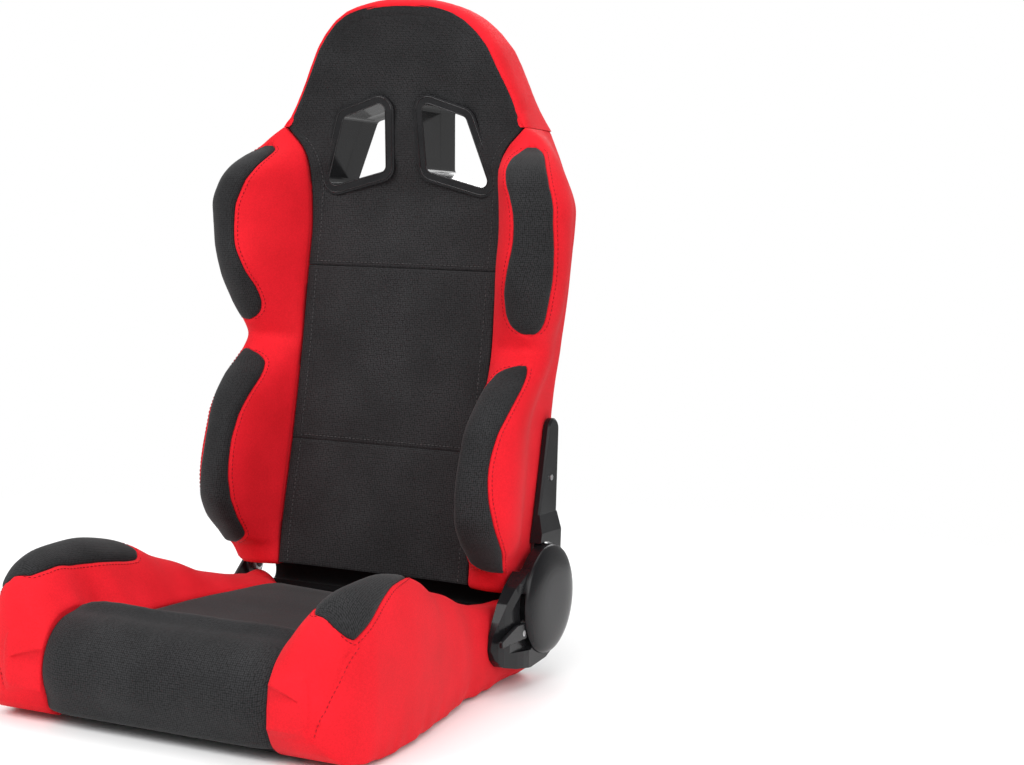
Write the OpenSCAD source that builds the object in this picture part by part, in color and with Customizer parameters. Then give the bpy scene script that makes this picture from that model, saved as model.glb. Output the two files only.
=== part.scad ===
// Reclining bucket seat: a foam base and a bolstered backrest on tube frames,
// joined by a toothed recliner on one side and a plain hinge on the other.
// Front faces -Y, up is +Z, origin at the middle of the four foot plates.

/* [Backrest] */
// Overall height of the seat
seat_height = 913; // [880:1:960]
// Half width at the shoulders
shoulder_half = 274; // [262:1:290]
// Half width at the waist
waist_half = 238; // [230:1:250]
// Depth of the upper bolsters in front of the centre pad
upper_bolster_depth = 100; // [70:1:115]
// Depth of the lower bolsters in front of the centre pad
lower_bolster_depth = 124; // [90:1:135]
// Half width of the centre pad
centre_half = 150; // [130:1:158]
// Thickness of the black insert pads
insert_thickness = 6; // [4:0.5:9]
// Thickness of the covered rear panel
rear_panel_thickness = 8; // [5:0.5:12]

/* [Base] */
// Half width of the base at the front
base_front_half = 262; // [245:1:275]
// Front of the base, from the middle of the foot plates
base_front = 300; // [280:1:330]
// Rear of the base, from the middle of the foot plates
base_rear = 276; // [276:1:290]
// Height of the thigh bolsters
thigh_height = 202; // [170:1:215]
// Height of the front roll
roll_height = 150; // [130:1:160]
// Height of the seat pad in the middle
seat_pad_height = 104; // [85:1:112]
// Spacing of the mounting holes across the seat
mount_spacing_x = 296; // [270:1:300]
// Spacing of the mounting holes along the seat
mount_spacing_y = 330; // [280:1:360]
// Radius of the mounting holes
mount_hole_r = 4.25; // [3.25:0.25:5.25]

/* [Frame] */
// Radius of the backrest tube
back_tube_r = 10; // [8:0.5:12]
// Radius of the base tube
base_tube_r = 11; // [9:0.5:12]
// Radius of the support wires
wire_r = 2; // [1.5:0.25:3]

/* [Recliner] */
// Height of the recline axis
pivot_z = 112; // [108:1:116]
// Recline axis, behind the middle of the foot plates
pivot_y = 248; // [244:1:250]
// Thickness of the hinge plates
plate_t = 4; // [3:0.25:5]
// Radius of the toothed sector
sector_r = 46; // [40:1:50]
// Number of teeth round the whole sector circle
sector_teeth = 72; // [48:1:90]
// Radius of the round cover over the recliner
dome_r = 73.5; // [68:0.5:76]
// Wall of the plastic covers
cover_wall = 2.5; // [2:0.25:3.5]
// Number of turns of the spiral spring
spring_turns = 4; // [3:0.5:5]

/* [Clearances] */
// Gap between soft pieces that lie against each other
soft_gap = 0.3; // [0.2:0.05:0.6]
// Running gap between plates that turn
run_gap = 0.5; // [0.3:0.05:0.8]
// Radial gap of pins in their holes
pin_gap = 0.06; // [0.03:0.01:0.1]

/* [Hidden] */

$fn = 48;
red = [0.86, 0.10, 0.15];
black = [0.16, 0.16, 0.17];
plastic = [0.22, 0.22, 0.23];
steel = [0.62, 0.63, 0.65];

// The backrest is drawn 913 high; its heights are stretched above low_z to reach seat_height
drawn_height = 913;
low_z = 124;
stretch = (seat_height - low_z) / (drawn_height - low_z);
function up(n) = n <= low_z ? n : low_z + (n - low_z) * stretch;
function drawn(z) = z <= low_z ? z : low_z + (z - low_z) / stretch;

// Heights of the main cuts of the backrest
z_base_of_back = pivot_z + 12;
z_mid_seam = up(548);
z_neck = up(742);

// ---- small helpers -------------------------------------------------------
function mix(a, b, t) = a + (b - a) * t;
function bez(a, b, c, d, t) =
    a * pow(1 - t, 3) + 3 * b * t * pow(1 - t, 2) + 3 * c * t * t * (1 - t) + d * pow(t, 3);
// Unit normal to the right of a step from p to q, in the plane
function side_normal(p, q) = let (d = q - p, l = norm(d)) [d[1] / l, -d[0] / l];

// Closed skin over rings of equal count; rings run anticlockwise seen from the last one.
// Quads from place flip_from on are split along their other diagonal.
module loft(rings, flip_from = 1000) {
    n = len(rings[0]);
    last = len(rings) - 1;
    sides = [for (r = [0:last - 1], i = [0:n - 1])
        let (j = (i + 1) % n, a = r * n + i, b = r * n + j, c = a + n, d = b + n)
        each i < flip_from ? [[a, c, d], [a, d, b]] : [[a, c, b], [c, d, b]]];
    polyhedron(points = [for (ring = rings) each ring],
               faces = concat([[for (i = [0:n - 1]) i]], sides,
                              [[for (i = [n - 1:-1:0]) last * n + i]]));
}

module along_x(from, to) {
    translate([from, 0, 0]) rotate([90, 0, 90]) linear_extrude(to - from) children();
}

module along_y(from, to) {
    translate([0, to, 0]) rotate([90, 0, 0]) linear_extrude(to - from) children();
}

module rod_x(from, to, y, z, r) {
    translate([from, y, z]) rotate([0, 90, 0]) cylinder(h = to - from, r = r);
}

module mirror_x() {
    mirror([1, 0, 0]) children();
}

// ---- backrest side profile, as depth (y) against height ------------------
// Front of the centre panel along the seams
function seam_y(z) = lookup(drawn(z), [[110, 191], [180, 200], [298, 222], [430, 243], [550, 257],
                                [608, 264], [645, 262], [695, 253], [740, 251], [782, 251],
                                [821, 246], [863, 240], [895, 231], [drawn_height, 224]]);
// Rear face
function rear_y(z) = lookup(drawn(z), [[pivot_z, base_rear], [340, 309], [550, 336], [640, 346], [790, 350],
                                [840, 342], [885, 327], [drawn_height, 308]]);
// Half width of the rear panel
function rear_half(z) = lookup(drawn(z), [[100, 201], [134, 208], [248, 214], [342, 214], [444, 210],
                                   [574, 204], [650, 195], [703, 186], [752, 177], [771, 170],
                                   [848, 139], [880, 112], [900, 70], [910, 30]]);
// Half width of the front of the head
function head_half(z) = lookup(drawn(z), [[740, 187], [742, 186], [782, 166], [821, 146], [850, 132], [868, 118],
                                   [884, 101], [895, 82], [903, 52], [906, 20]]);

// ---- backrest bolsters ---------------------------------------------------
// Outermost point of the side: half width and depth
function side_x(z) = lookup(drawn(z), [[110, 210], [140, 215], [156, 219], [172, 223], [185, 231], [205, 239],
                                [260, 243], [335, 241],
                                [445, waist_half], [499, 256], [540, 266], [580, shoulder_half - 2],
                                [629, shoulder_half], [668, 262], [697, 244], [729, 225], [742, 208]]);
function side_y(z) = lookup(drawn(z), [[110, 215], [160, 190], [200, 165], [250, 150], [335, 165],
                                [390, 200], [445, 245], [499, 235], [540, 228], [629, 215],
                                [668, 228], [697, 240], [742, 262]]);
// Crest: half width, and how far it stands in front of the seam line
function crest_x(z) = lookup(drawn(z), [[110, 196], [163, 200], [232, 203], [336, 203], [410, 205],
                                 [445, 212], [540, 215], [629, 224], [660, 218], [697, 205],
                                 [742, 198]]);
crest_share = [[110, 0.02], [150, 0.2], [163, 0.39], [183, 0.58], [200, 0.74], [232, 0.93],
               [282, 1], [336, 0.97], [390, 0.9], [410, 0.62], [430, 0.4], [445, 0.26]];
crest_share_up = [[445, 0.22], [466, 0.38], [499, 0.6], [540, 0.86], [580, 0.97], [629, 1],
                  [660, 0.96], [680, 0.8], [697, 0.52], [713, 0.18], [742, 0.02]];
function crest_y(z) = seam_y(z) - (drawn(z) < 445
    ? lower_bolster_depth * lookup(drawn(z), crest_share)
    : upper_bolster_depth * lookup(drawn(z), crest_share_up));
// The side draws in behind, so the hinge arms lie flush up to arm_clear_z
arm_clear_z = 360;
arm_face_x = 221.5;
function pinch_x(z) =
    let (x = lookup(drawn(z), [[110, 211], [140, 216], [160, 220], [180, arm_face_x], [350, arm_face_x], [445, 229],
                               [540, 236], [629, 238], [697, 212], [742, 203]]))
    z < arm_clear_z ? min(x, arm_face_x) : x;
function pinch_y(z) = rear_y(z)
    - lookup(min(drawn(z), z < arm_clear_z ? 350 : drawn_height), [[110, 50], [160, 72], [350, 72], [445, 30], [742, 30]]);
// Seam between the pads and the bolsters, which runs out to the head at the neck
function seam_x(z) = centre_half
    + lookup(drawn(z), [[680, 0], [698, 3.5], [709, 8], [717, 14], [731, 26], [742, 36]]);

// Point of the bolster section at height z; s runs 0 seam, 1 crest, 2 side, 3 pinch, 4 rear edge
function bolster_at(z, s) =
    let (a = [seam_x(z) + soft_gap, seam_y(z)], k = [crest_x(z), crest_y(z)], wide = min(1, (k[0] - a[0]) / 46),
         d = [side_x(z), max(side_y(z), crest_y(z) + 8)], e = [pinch_x(z), max(pinch_y(z), side_y(z) + 10)],
         f = [rear_half(z), rear_y(z)], rise = a[1] - k[1])
    s <= 1 ? bez(a, [a[0] + 14 * wide, a[1] - rise * 0.42], [k[0] - 24 * wide, k[1] + rise * 0.02], k, s)
  : s <= 2 ? bez(k, [mix(k[0], d[0], 0.55), k[1]], [d[0], mix(d[1], k[1], 0.5)], d, s - 1)
  : s <= 3 ? bez(d, [d[0], mix(d[1], e[1], 0.3)], [e[0], mix(d[1], e[1], 0.7)], e, s - 2)
  :          bez(e, [e[0], mix(e[1], f[1], 0.8)], [mix(f[0], e[0], 0.5), f[1]], f, s - 3);
// The same point set inward by a depth
function bolster_in(z, s, depth) =
    bolster_at(z, s) - depth * side_normal(bolster_at(z, s - 0.02), bolster_at(z, s + 0.02));

// Inserts cover the front of the bolsters; each has a low and a high end
lower_insert_z = [up(153), up(428)];
upper_insert_z = [up(467.5), up(715.5)];
edge_step = 1.5;
// Inner and outer edge of the inserts, as places on the section at each height
insert_edge = [[151.5, 1.5, 1.6], [154.5, 1.22, 1.76], [160, 0.92, 1.88], [170, 0.71, 1.86], [185, 0.63, 1.69],
               [205, 0.62, 1.58], [230, 0.64, 1.52], [260, 0.68, 1.44], [300, 0.69, 1.4], [340, 0.65, 1.45],
               [370, 0.56, 1.52], [395, 0.53, 1.55], [411, 0.61, 1.5], [420, 0.78, 1.42], [426.5, 1.05, 1.33],
               [429.5, 1.18, 1.25], [466, 1.2, 1.25], [469, 0.98, 1.42], [476, 0.82, 1.55], [488, 0.71, 1.62],
               [512, 0.71, 1.66], [545, 0.85, 1.7], [580, 0.95, 1.67], [620, 0.9, 1.62], [655, 0.81, 1.61],
               [680, 0.78, 1.57], [698, 0.84, 1.46], [709, 0.96, 1.34], [714, 1.08, 1.27], [717, 1.15, 1.22]];
function edge_at(table, v, k) = lookup(v, [for (e = table) [e[0], e[1 + k]]]);
function insert_s(z, k) = edge_at(insert_edge, drawn(z), k);
function in_span(z, span) = z > span[0] && z < span[1];
function insert_depth(z) = in_span(z, lower_insert_z) || in_span(z, upper_insert_z)
    ? insert_thickness + soft_gap : 0;
insert_steps = 5;
pad_play = 0.02;
bolster_z = concat([z_base_of_back, up(140)], [for (e = insert_edge) up(e[0])], [up(731), z_neck - soft_gap]);
frame_wall = centre_half + 16;

function at_z(p, z) = [p[0], p[1], z];
function bolster_ring(z) =
    let (lo = insert_s(z, 0), hi = insert_s(z, 1), depth = insert_depth(z),
         back = rear_y(z) - rear_panel_thickness - soft_gap, inner = min(frame_wall, rear_half(z) - 12))
    [for (p = concat(
        [for (s = [0, 0.3, 0.55]) bolster_at(z, s * lo / 0.8)],
        [bolster_at(z, lo - 0.03)],
        [for (k = [0:insert_steps]) bolster_in(z, mix(lo, hi, k / insert_steps), depth)],
        [bolster_at(z, hi + 0.03)],
        [for (s = [2, 2.5, 3, 3.5, 4]) bolster_at(z, s)],
        [[rear_half(z), back], [inner, back], [inner, pad_back(z)],
         [seam_x(z) + soft_gap, pad_back(z) - 0.5]])) at_z(p, z)];

module bolster_body(bolts) {
    difference() {
        loft([for (z = bolster_z) bolster_ring(z)]);
        for (b = bolts) rod_x(frame_wall - 4, 260, b[0], b[1], sleeve_r + 0.6);
    }
}

// The stations of a section list inside a span, with ends set just inside the recess
function pad_stations(list, span) =
    let (lo = span[0] + edge_step + 2 * soft_gap, hi = span[1] - edge_step - 2 * soft_gap)
    concat([lo], [for (v = list) if (v > lo + 2 && v < hi - 2) v], [hi]);

// Places across a pad: those of its recess, but for the two edges
function pad_place(lo, hi, k) =
    mix(lo, hi, k / insert_steps) + (k == 0 ? pad_play : k == insert_steps ? -pad_play : 0);

module insert_pad(span) {
    loft([for (z = pad_stations(bolster_z, span))
        let (lo = insert_s(z, 0), hi = insert_s(z, 1))
        [for (p = concat(
            [for (k = [0:insert_steps]) bolster_at(z, pad_place(lo, hi, k))],
            [for (k = [insert_steps:-1:0])
                bolster_in(z, pad_place(lo, hi, k), insert_thickness - soft_gap)])) at_z(p, z)]],
        insert_steps + 1);
}

module back_bolster_right() { color(red) bolster_body(arm_bolt_at); }
module back_bolster_left() { color(red) mirror_x() bolster_body([arm_bolt_at[0]]); }
module upper_insert_right() { color(black) insert_pad(upper_insert_z); }
module upper_insert_left() { color(black) mirror_x() insert_pad(upper_insert_z); }
module lower_insert_right() { color(black) insert_pad(lower_insert_z); }
module lower_insert_left() { color(black) mirror_x() insert_pad(lower_insert_z); }

// ---- centre and head pads ------------------------------------------------
seam_groove = 3;
back_bow = 1.5;
lumbar_seam_z = up(336);
pad_columns = 8;
// How far the pads lie back between their seams
function dish(z) = lookup(drawn(z), [[124, 6], [450, 5], [550, 3], [608, 8], [669, 20], [720, 15], [768, 10],
                              [840, 5], [906, 2]]);
// Front of the pads at u, from -1 to 1 across them
function pad_front(z, u) = seam_y(z) + dish(z) * (1 - pow(u, 6))
    + (abs(z - lumbar_seam_z) < 1 ? seam_groove : 0);
// The back of the pads lies on the support wires
function pad_back(z) = min(frame_y(z) - back_tube_r - 2 * wire_r - wire_up,
                           rear_y(z) - rear_panel_thickness) - soft_gap;
function pad_ring(z, half) = concat(
    [for (i = [0:pad_columns]) let (u = 2 * i / pad_columns - 1) [half * u, pad_front(z, u), z]],
    [for (i = [pad_columns:-1:0]) let (u = 2 * i / pad_columns - 1)
        [half * u, pad_back(z) - back_bow * u * u, z]]);

module centre_pad() {
    heights = concat([z_base_of_back + 4], [for (n = [150, 190, 230, 270, 305]) up(n)],
        [for (d = [-5, 0, 5]) lumbar_seam_z + d], [for (n = [370, 410, 450, 490, 525]) up(n)],
        [z_mid_seam - soft_gap]);
    color(black) loft([for (z = heights) pad_ring(z, centre_half - soft_gap)]);
}

// Harness slot, as the corners of its opening seen from the front
slot_corner = [[33, up(772)], [93, up(757)], [122, up(664)], [35, up(684)]];
slot_round = 9;
slot_flange = 14;
bezel_wall = 2.5;
module slot_shape(grow) {
    hull() for (p = slot_corner)
        let (c = [75, slot_mid], d = (c - p) / norm(c - p))
            translate(p + d * slot_round) circle(r = slot_round + grow, $fn = 24);
}

module head_outline(grow) {
    right = [for (n = [742, 762, 782, 802, 821, 836, 850, 860, 868, 877, 884, 890, 895, 900, 903, 906])
        [head_half(up(n)) + grow, up(n) + (n > 860 ? grow * 0.8 * (n - 860) / 46 : 0)]];
    polygon(concat([for (p = right) p], [for (i = [len(right) - 1:-1:0]) [-right[i][0], right[i][1]]]));
}

module head_pad() {
    low = concat([z_mid_seam + soft_gap], [for (n = [575, 610, 645, 680, 698, 709, 717, 731]) up(n)],
                 [z_neck - soft_gap]);
    high = concat([z_neck + soft_gap], [for (n = [762, 782, 806, 828, 846, 860, 872, 883, 892, 899, 904]) up(n)]);
    color(black) difference() {
        loft(concat([for (z = low) pad_ring(z, seam_x(z) - soft_gap)],
                    [for (z = high) pad_ring(z, head_half(z) - soft_gap)]));
        for (s = [0, 1]) mirror([s, 0, 0]) {
            along_y(200, 330) slot_shape(bezel_wall + soft_gap);
            on_slot(bezel_face + soft_gap, front_tilt) along_y(-15, 0) slot_shape(slot_flange + soft_gap);
        }
    }
}

// Red strip round the head, from the front edge to the rear panel
module head_side_profile(front, rear) {
    zs = [for (n = [742, 790, 821, 840, 863, 885, drawn_height]) up(n)];
    polygon(concat([for (z = zs) [seam_y(z) + front, z]],
                   [for (i = [len(zs) - 1:-1:0]) [rear_y(zs[i]) + rear, zs[i]]]));
}

border_t = 8;
module head_border() {
    color(red) intersection() {
        along_y(200, 370) difference() {
            head_outline(border_t);
            head_outline(0);
            translate([-300, z_neck - 10]) square([600, 10 + soft_gap]);
        }
        along_x(-300, 300) head_side_profile(1, -rear_panel_thickness - 2 * soft_gap);
    }
}

// ---- rear panel ----------------------------------------------------------
panel_edge = 1.2;
heel_r = base_rear - pivot_y;
panel_z = [for (n = [pivot_z, 340, 550, 640, 790, 840, 885, drawn_height]) up(n)];
panel_outline = [for (n = [60, 134, 248, 342, 444, 574, 650, 703, 752, 771, 810, 848, 866, 880, 892, 900, 907])
    [rear_half(up(n)) - panel_edge, up(n)]];
module rear_panel() {
    color(black) intersection() {
        along_x(-300, 300) union() {
            polygon(concat([for (z = panel_z) [rear_y(z), z]],
                [for (i = [len(panel_z) - 1:-1:0]) [rear_y(panel_z[i]) - rear_panel_thickness, panel_z[i]]]));
            intersection() {
                translate([pivot_y, pivot_z]) difference() {
                    circle(r = heel_r);
                    circle(r = heel_r - rear_panel_thickness);
                }
                translate([pivot_y - 60, pivot_z - 60]) square([120, 60]);
            }
        }
        along_y(150, 400) difference() {
            polygon(concat(panel_outline, [for (i = [len(panel_outline) - 1:-1:0])
                [-panel_outline[i][0], panel_outline[i][1]]]));
            for (s = [1, -1]) scale([s, 1]) slot_shape(bezel_wall + soft_gap);
        }
    }
}

// ---- slot bezels ---------------------------------------------------------
bezel_flange_t = 3.5;
bezel_split = 308;
slot_mid = up(719);
slot_reach = 55;
// Depth of the pads at the slots, and how the flanges lie on them
function slot_front(z) = pad_front(z, 0.5);
front_tilt = atan((slot_front(slot_mid - slot_reach) - slot_front(slot_mid + slot_reach)) / (2 * slot_reach));
rear_tilt = atan((rear_y(slot_mid - slot_reach) - rear_y(slot_mid + slot_reach)) / (2 * slot_reach));
bezel_face = slot_front(slot_mid) - 1.2;
module on_slot(y, tilt) {
    translate([0, y, slot_mid]) rotate([tilt, 0, 0]) translate([0, 0, -slot_mid]) children();
}

module slot_bezel_front() {
    face = bezel_face;
    difference() {
        union() {
            on_slot(face, front_tilt) along_y(-bezel_flange_t, 0) slot_shape(slot_flange);
            difference() {
                along_y(face - 8, bezel_split) slot_shape(bezel_wall);
                on_slot(face - bezel_flange_t, front_tilt) along_y(-40, 0) slot_shape(slot_flange + 20);
            }
        }
        along_y(face - 60, bezel_split + 10) slot_shape(0);
    }
}

module slot_bezel_rear() {
    face = rear_y(slot_mid) + soft_gap;
    difference() {
        union() {
            on_slot(face, rear_tilt) along_y(0, bezel_flange_t) slot_shape(slot_flange);
            along_y(bezel_split + soft_gap, face + 1) slot_shape(bezel_wall);
        }
        along_y(bezel_split - 10, face + 20) slot_shape(0);
    }
}

module slot_bezel_front_right() { color(plastic) slot_bezel_front(); }
module slot_bezel_front_left() { color(plastic) mirror_x() slot_bezel_front(); }
module slot_bezel_rear_right() { color(plastic) slot_bezel_rear(); }
module slot_bezel_rear_left() { color(plastic) mirror_x() slot_bezel_rear(); }

// ---- backrest frame ------------------------------------------------------
sleeve_r = 8;
bolt_r = 4;
// The arms turn on the inner side of the lower plates
arm_in = 222.5;
plate_in = arm_in + plate_t + run_gap;
back_tube_x = centre_half;
cross_tube_r = back_tube_r - 2;
frame_top = up(812);
frame_lean = atan(tan(5.9) * (812 - pivot_z) / (frame_top - pivot_z));
frame_foot_y = base_rear - 22;
frame_low = z_base_of_back + 18;
cross_tube_z = up(410);
frame_bend = 60;
function frame_y(z) = frame_foot_y + (z - pivot_z) * tan(frame_lean);
// Bolts that hold the hinge arms to the frame, as [y, z]
arm_bolt_at = [for (z = [158, 300]) [frame_y(z), z]];

module back_frame() {
    rise = (frame_top - pivot_z) / cos(frame_lean);
    low = (frame_low - pivot_z) / cos(frame_lean);
    color(steel) {
        translate([0, frame_foot_y, pivot_z]) rotate([-frame_lean, 0, 0]) {
            for (s = [1, -1]) translate([s * back_tube_x, 0, low])
                cylinder(h = rise - low - frame_bend, r = back_tube_r);
            for (s = [0, 1]) mirror([s, 0, 0])
                translate([back_tube_x - frame_bend, 0, rise - frame_bend]) rotate([90, 0, 0])
                    rotate_extrude(angle = 90) translate([frame_bend, 0]) circle(r = back_tube_r);
            rod_x(-back_tube_x + frame_bend, back_tube_x - frame_bend, 0, rise, back_tube_r);
            for (z = [low + 12, (cross_tube_z - pivot_z) / cos(frame_lean)]) rod_x(-back_tube_x, back_tube_x, 0, z, cross_tube_r);
        }
        for (b = arm_bolt_at) bolt_sleeve(b, back_tube_x + 4, arm_in - 0.2);
        mirror_x() bolt_sleeve(arm_bolt_at[0], back_tube_x + 4, arm_in - 0.2);
    }
}

// Threaded sleeve that reaches out to a plate
module bolt_sleeve(at, from, to) {
    difference() {
        rod_x(from, to, at[0], at[1], sleeve_r);
        rod_x(from + 12, to + 1, at[0], at[1], bolt_r + pin_gap);
    }
}

back_wire_z = [200, 265, 330, up(470), up(535)];
// Support wire laid over two tubes, with a steel band round each
wire_up = 0.6;
band_t = 1.8;
module wire(half, tube) {
    difference() {
        union() {
            rod_x(-half - 5, half + 5, 0, tube + wire_up + wire_r, wire_r);
            for (s = [1, -1]) translate([s * half, 6, 0]) rotate([90, 0, 0])
                cylinder(h = 12, r = tube + 0.2 + band_t);
        }
        for (s = [1, -1]) translate([s * half, 7, 0]) rotate([90, 0, 0])
            cylinder(h = 14, r = tube + 0.2);
    }
}

module back_wires() {
    color(steel) for (z = back_wire_z) translate([0, frame_y(z), z])
        rotate([90 - frame_lean, 0, 0]) wire(back_tube_x, back_tube_r);
}

// ---- base ----------------------------------------------------------------
rail_x = mount_spacing_x / 2 + 20;
rail_z = base_tube_r + 3.5;
rail_front = -245;
rail_rear = 250;
pad_under = rail_z + base_tube_r + 2 * wire_r + wire_up + soft_gap;
foot_t = 4;
base_wall_x = rail_x + base_tube_r + 3;

module base_frame() {
    bend = 22;
    color(steel) {
        for (s = [1, -1]) translate([s * rail_x, rail_front + bend, rail_z])
            rotate([-90, 0, 0]) cylinder(h = rail_rear - rail_front - 2 * bend, r = base_tube_r);
        for (y = [rail_front, rail_rear]) rod_x(-rail_x + bend, rail_x - bend, y, rail_z, base_tube_r);
        for (sx = [1, -1], sy = [1, -1])
            translate([sx * (rail_x - bend), (sy > 0 ? rail_rear - bend : rail_front + bend), rail_z])
                rotate([0, 0, sx > 0 ? (sy > 0 ? 0 : -90) : (sy > 0 ? 90 : 180)])
                    rotate_extrude(angle = 90) translate([bend, 0]) circle(r = base_tube_r);
        for (sx = [1, -1], sy = [1, -1]) difference() {
            translate([sx * (mount_spacing_x / 2 + 4) - 22, sy * mount_spacing_y / 2 - 25, 0])
                cube([44, 50, foot_t]);
            translate([sx * mount_spacing_x / 2, sy * mount_spacing_y / 2, -1])
                cylinder(h = foot_t + 2, r = mount_hole_r);
        }
        for (s = [0, 1]) mirror([s, 0, 0]) for (b = plate_bolt_at) {
            bolt_sleeve(b, rail_x - 3, plate_in - 0.2);
            translate([rail_x - 3, b[0] - 6, rail_z]) cube([6, 12, b[1] - rail_z]);
        }
    }
}

module weld_nuts() {
    color(steel) for (sx = [1, -1], sy = [1, -1])
        translate([sx * mount_spacing_x / 2, sy * mount_spacing_y / 2, foot_t]) difference() {
            cylinder(h = 6.5, r = 7.5, $fn = 6);
            translate([0, 0, -1]) cylinder(h = 9, r = mount_hole_r - 0.25);
        }
}

seat_wire_y = [-205, -120, -40, 40, 120, 221];
module seat_wires() {
    color(steel) for (y = seat_wire_y) translate([0, y, rail_z]) wire(rail_x, base_tube_r);
}

// Thigh bolsters: sections across the seat, set along its length
function thigh_z(y) = thigh_height - 202 + lookup(y, [[-299, 112], [-292, 146], [-278, 172], [-255, 190],
    [-220, 199], [-170, 202], [-110, 194], [-70, 184], [-30, 165], [20, 149], [70, 129], [120, 117],
    [170, 101], [190, 92], [205, 84], [222, 78], [250, 77], [base_rear, 82]]);
function thigh_x(y) = lookup(y, [[-299, base_front_half - 58], [-278, base_front_half - 50],
    [-220, base_front_half - 46], [-100, base_front_half - 48], [20, mix(197, base_front_half, 0.11)], [205, 196]]);
function base_half(y) = lookup(y, [[-299, base_front_half - 48], [-292, base_front_half - 30],
    [-278, base_front_half - 14], [-255, base_front_half - 4], [-230, base_front_half], [-150, base_front_half - 2],
    [-60, mix(arm_face_x, base_front_half, 0.6)], [20, mix(arm_face_x, base_front_half, 0.28)], [90, arm_face_x],
    [250, arm_face_x], [base_rear, arm_face_x - 8.5]]);
function dip_z(y) = lookup(y, [[-299, 96], [-285, 118], [-262, 134], [-235, 138], [-205, 126], [-170, 116],
    [0, 112], [120, 106], [190, 88], [222, 74], [base_rear, 74]]);
function seat_seam(y) = lookup(y, [[-299, 157], [roll_rear, 157], [-150, 138], [60, 142], [205, 148],
    [base_rear, 150]]);
function base_low(y) = lookup(y, [[-299, 44], [-285, 20], [-262, 8], [-200, 4], [base_rear, 4]]);

function low_round(y) = lookup(y, [[-299, 10], [100, 12], [200, 22], [base_rear, 30]]);

// Point of the section; s runs 0 seam, 1 crest, 2 side, 3 low edge
function thigh_at(y, s) =
    let (a = [seat_seam(y) + soft_gap, dip_z(y)], k = [thigh_x(y), max(thigh_z(y), dip_z(y) + 2)],
         d = [base_half(y), mix(base_low(y), k[1], 0.5)], e = [base_half(y) - low_round(y), base_low(y)],
         rise = k[1] - a[1])
    s <= 1 ? bez(a, [a[0] + 16, a[1] + rise * 0.25], [k[0] - 26, k[1] - rise * 0.05], k, s)
  : s <= 2 ? bez(k, [mix(k[0], d[0], 0.6), k[1]], [d[0], mix(d[1], k[1], 0.6)], d, s - 1)
  :          bez(d, [d[0], mix(d[1], e[1], 0.6)], [mix(d[0], e[0], 0.2), e[1]], e, s - 2);
function thigh_in(y, s, depth) =
    thigh_at(y, s) + depth * side_normal(thigh_at(y, s - 0.02), thigh_at(y, s + 0.02));
rear_end = base_rear - rear_panel_thickness - soft_gap;
roll_rear = -190;
tip_y = [-277, -71];
tip_edge = [[-278.5, 1.2, 1.27], [-275.5, 0.97, 1.4], [-268, 0.77, 1.57], [-258, 0.7, 1.61], [-240, 0.65, 1.57],
            [-215, 0.61, 1.48], [roll_rear, 0.61, 1.39], [-150, 0.61, 1.25], [-128, 0.61, 1.18], [-105, 0.61, 1.08],
            [-88, 0.635, 0.98], [-78, 0.69, 0.895], [-72.5, 0.76, 0.85], [-69.5, 0.8, 0.83]];
function tip_s(y, k) = edge_at(tip_edge, y, k);
function tip_depth(y) = in_span(y, tip_y) ? insert_thickness + soft_gap : 0;
thigh_y = concat([-299, -296, -290, -284], [for (e = tip_edge) e[0]],
                 [-40, -5, 30, 60, 95, 130, 160, 182, 205, 222, 250, rear_end]);
function at_y(p, y) = [p[0], y, p[1]];
function thigh_ring(y) =
    let (lo = tip_s(y, 0), hi = tip_s(y, 1), depth = tip_depth(y),
         front_end = y < rail_front - base_tube_r - 2.5, wall = front_end ? seat_seam(y) + 2 : base_wall_x,
         under = front_end ? base_low(y) : pad_under + soft_gap)
    [for (p = concat(
        [for (s = [0, 0.35, 0.65]) thigh_at(y, s * lo / 0.8)],
        [thigh_at(y, lo - 0.03)],
        [for (k = [0:insert_steps]) thigh_in(y, mix(lo, hi, k / insert_steps), depth)],
        [thigh_at(y, hi + 0.03)],
        [for (s = [2, 2.35, 2.7, 3]) thigh_at(y, s)],
        [[wall, base_low(y)], [wall, max(under, base_low(y) + 1)],
         [seat_seam(y) + soft_gap, max(under, base_low(y) + 1) + 0.5]])) at_y(p, y)];

module base_bolster() {
    difference() {
        loft([for (y = thigh_y) thigh_ring(y)]);
        for (b = plate_bolt_at) {
            rod_x(rail_x - 4, 240, b[0], b[1], sleeve_r + 0.6);
            translate([rail_x - 4, b[0] - 7, rail_z]) cube([8, 14, b[1] - rail_z]);
        }
    }
}

module tip_pad() {
    loft([for (y = pad_stations(thigh_y, tip_y))
        let (lo = tip_s(y, 0), hi = tip_s(y, 1))
        [for (p = concat(
            [for (k = [0:insert_steps]) thigh_at(y, pad_place(lo, hi, k))],
            [for (k = [insert_steps:-1:0])
                thigh_in(y, pad_place(lo, hi, k), insert_thickness - soft_gap)])) at_y(p, y)]],
        insert_steps + 1);
}

module base_bolster_right() { color(red) base_bolster(); }
module base_bolster_left() { color(red) mirror_x() base_bolster(); }
module bolster_tip_right() { color(black) tip_pad(); }
module bolster_tip_left() { color(black) mirror_x() tip_pad(); }

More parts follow.
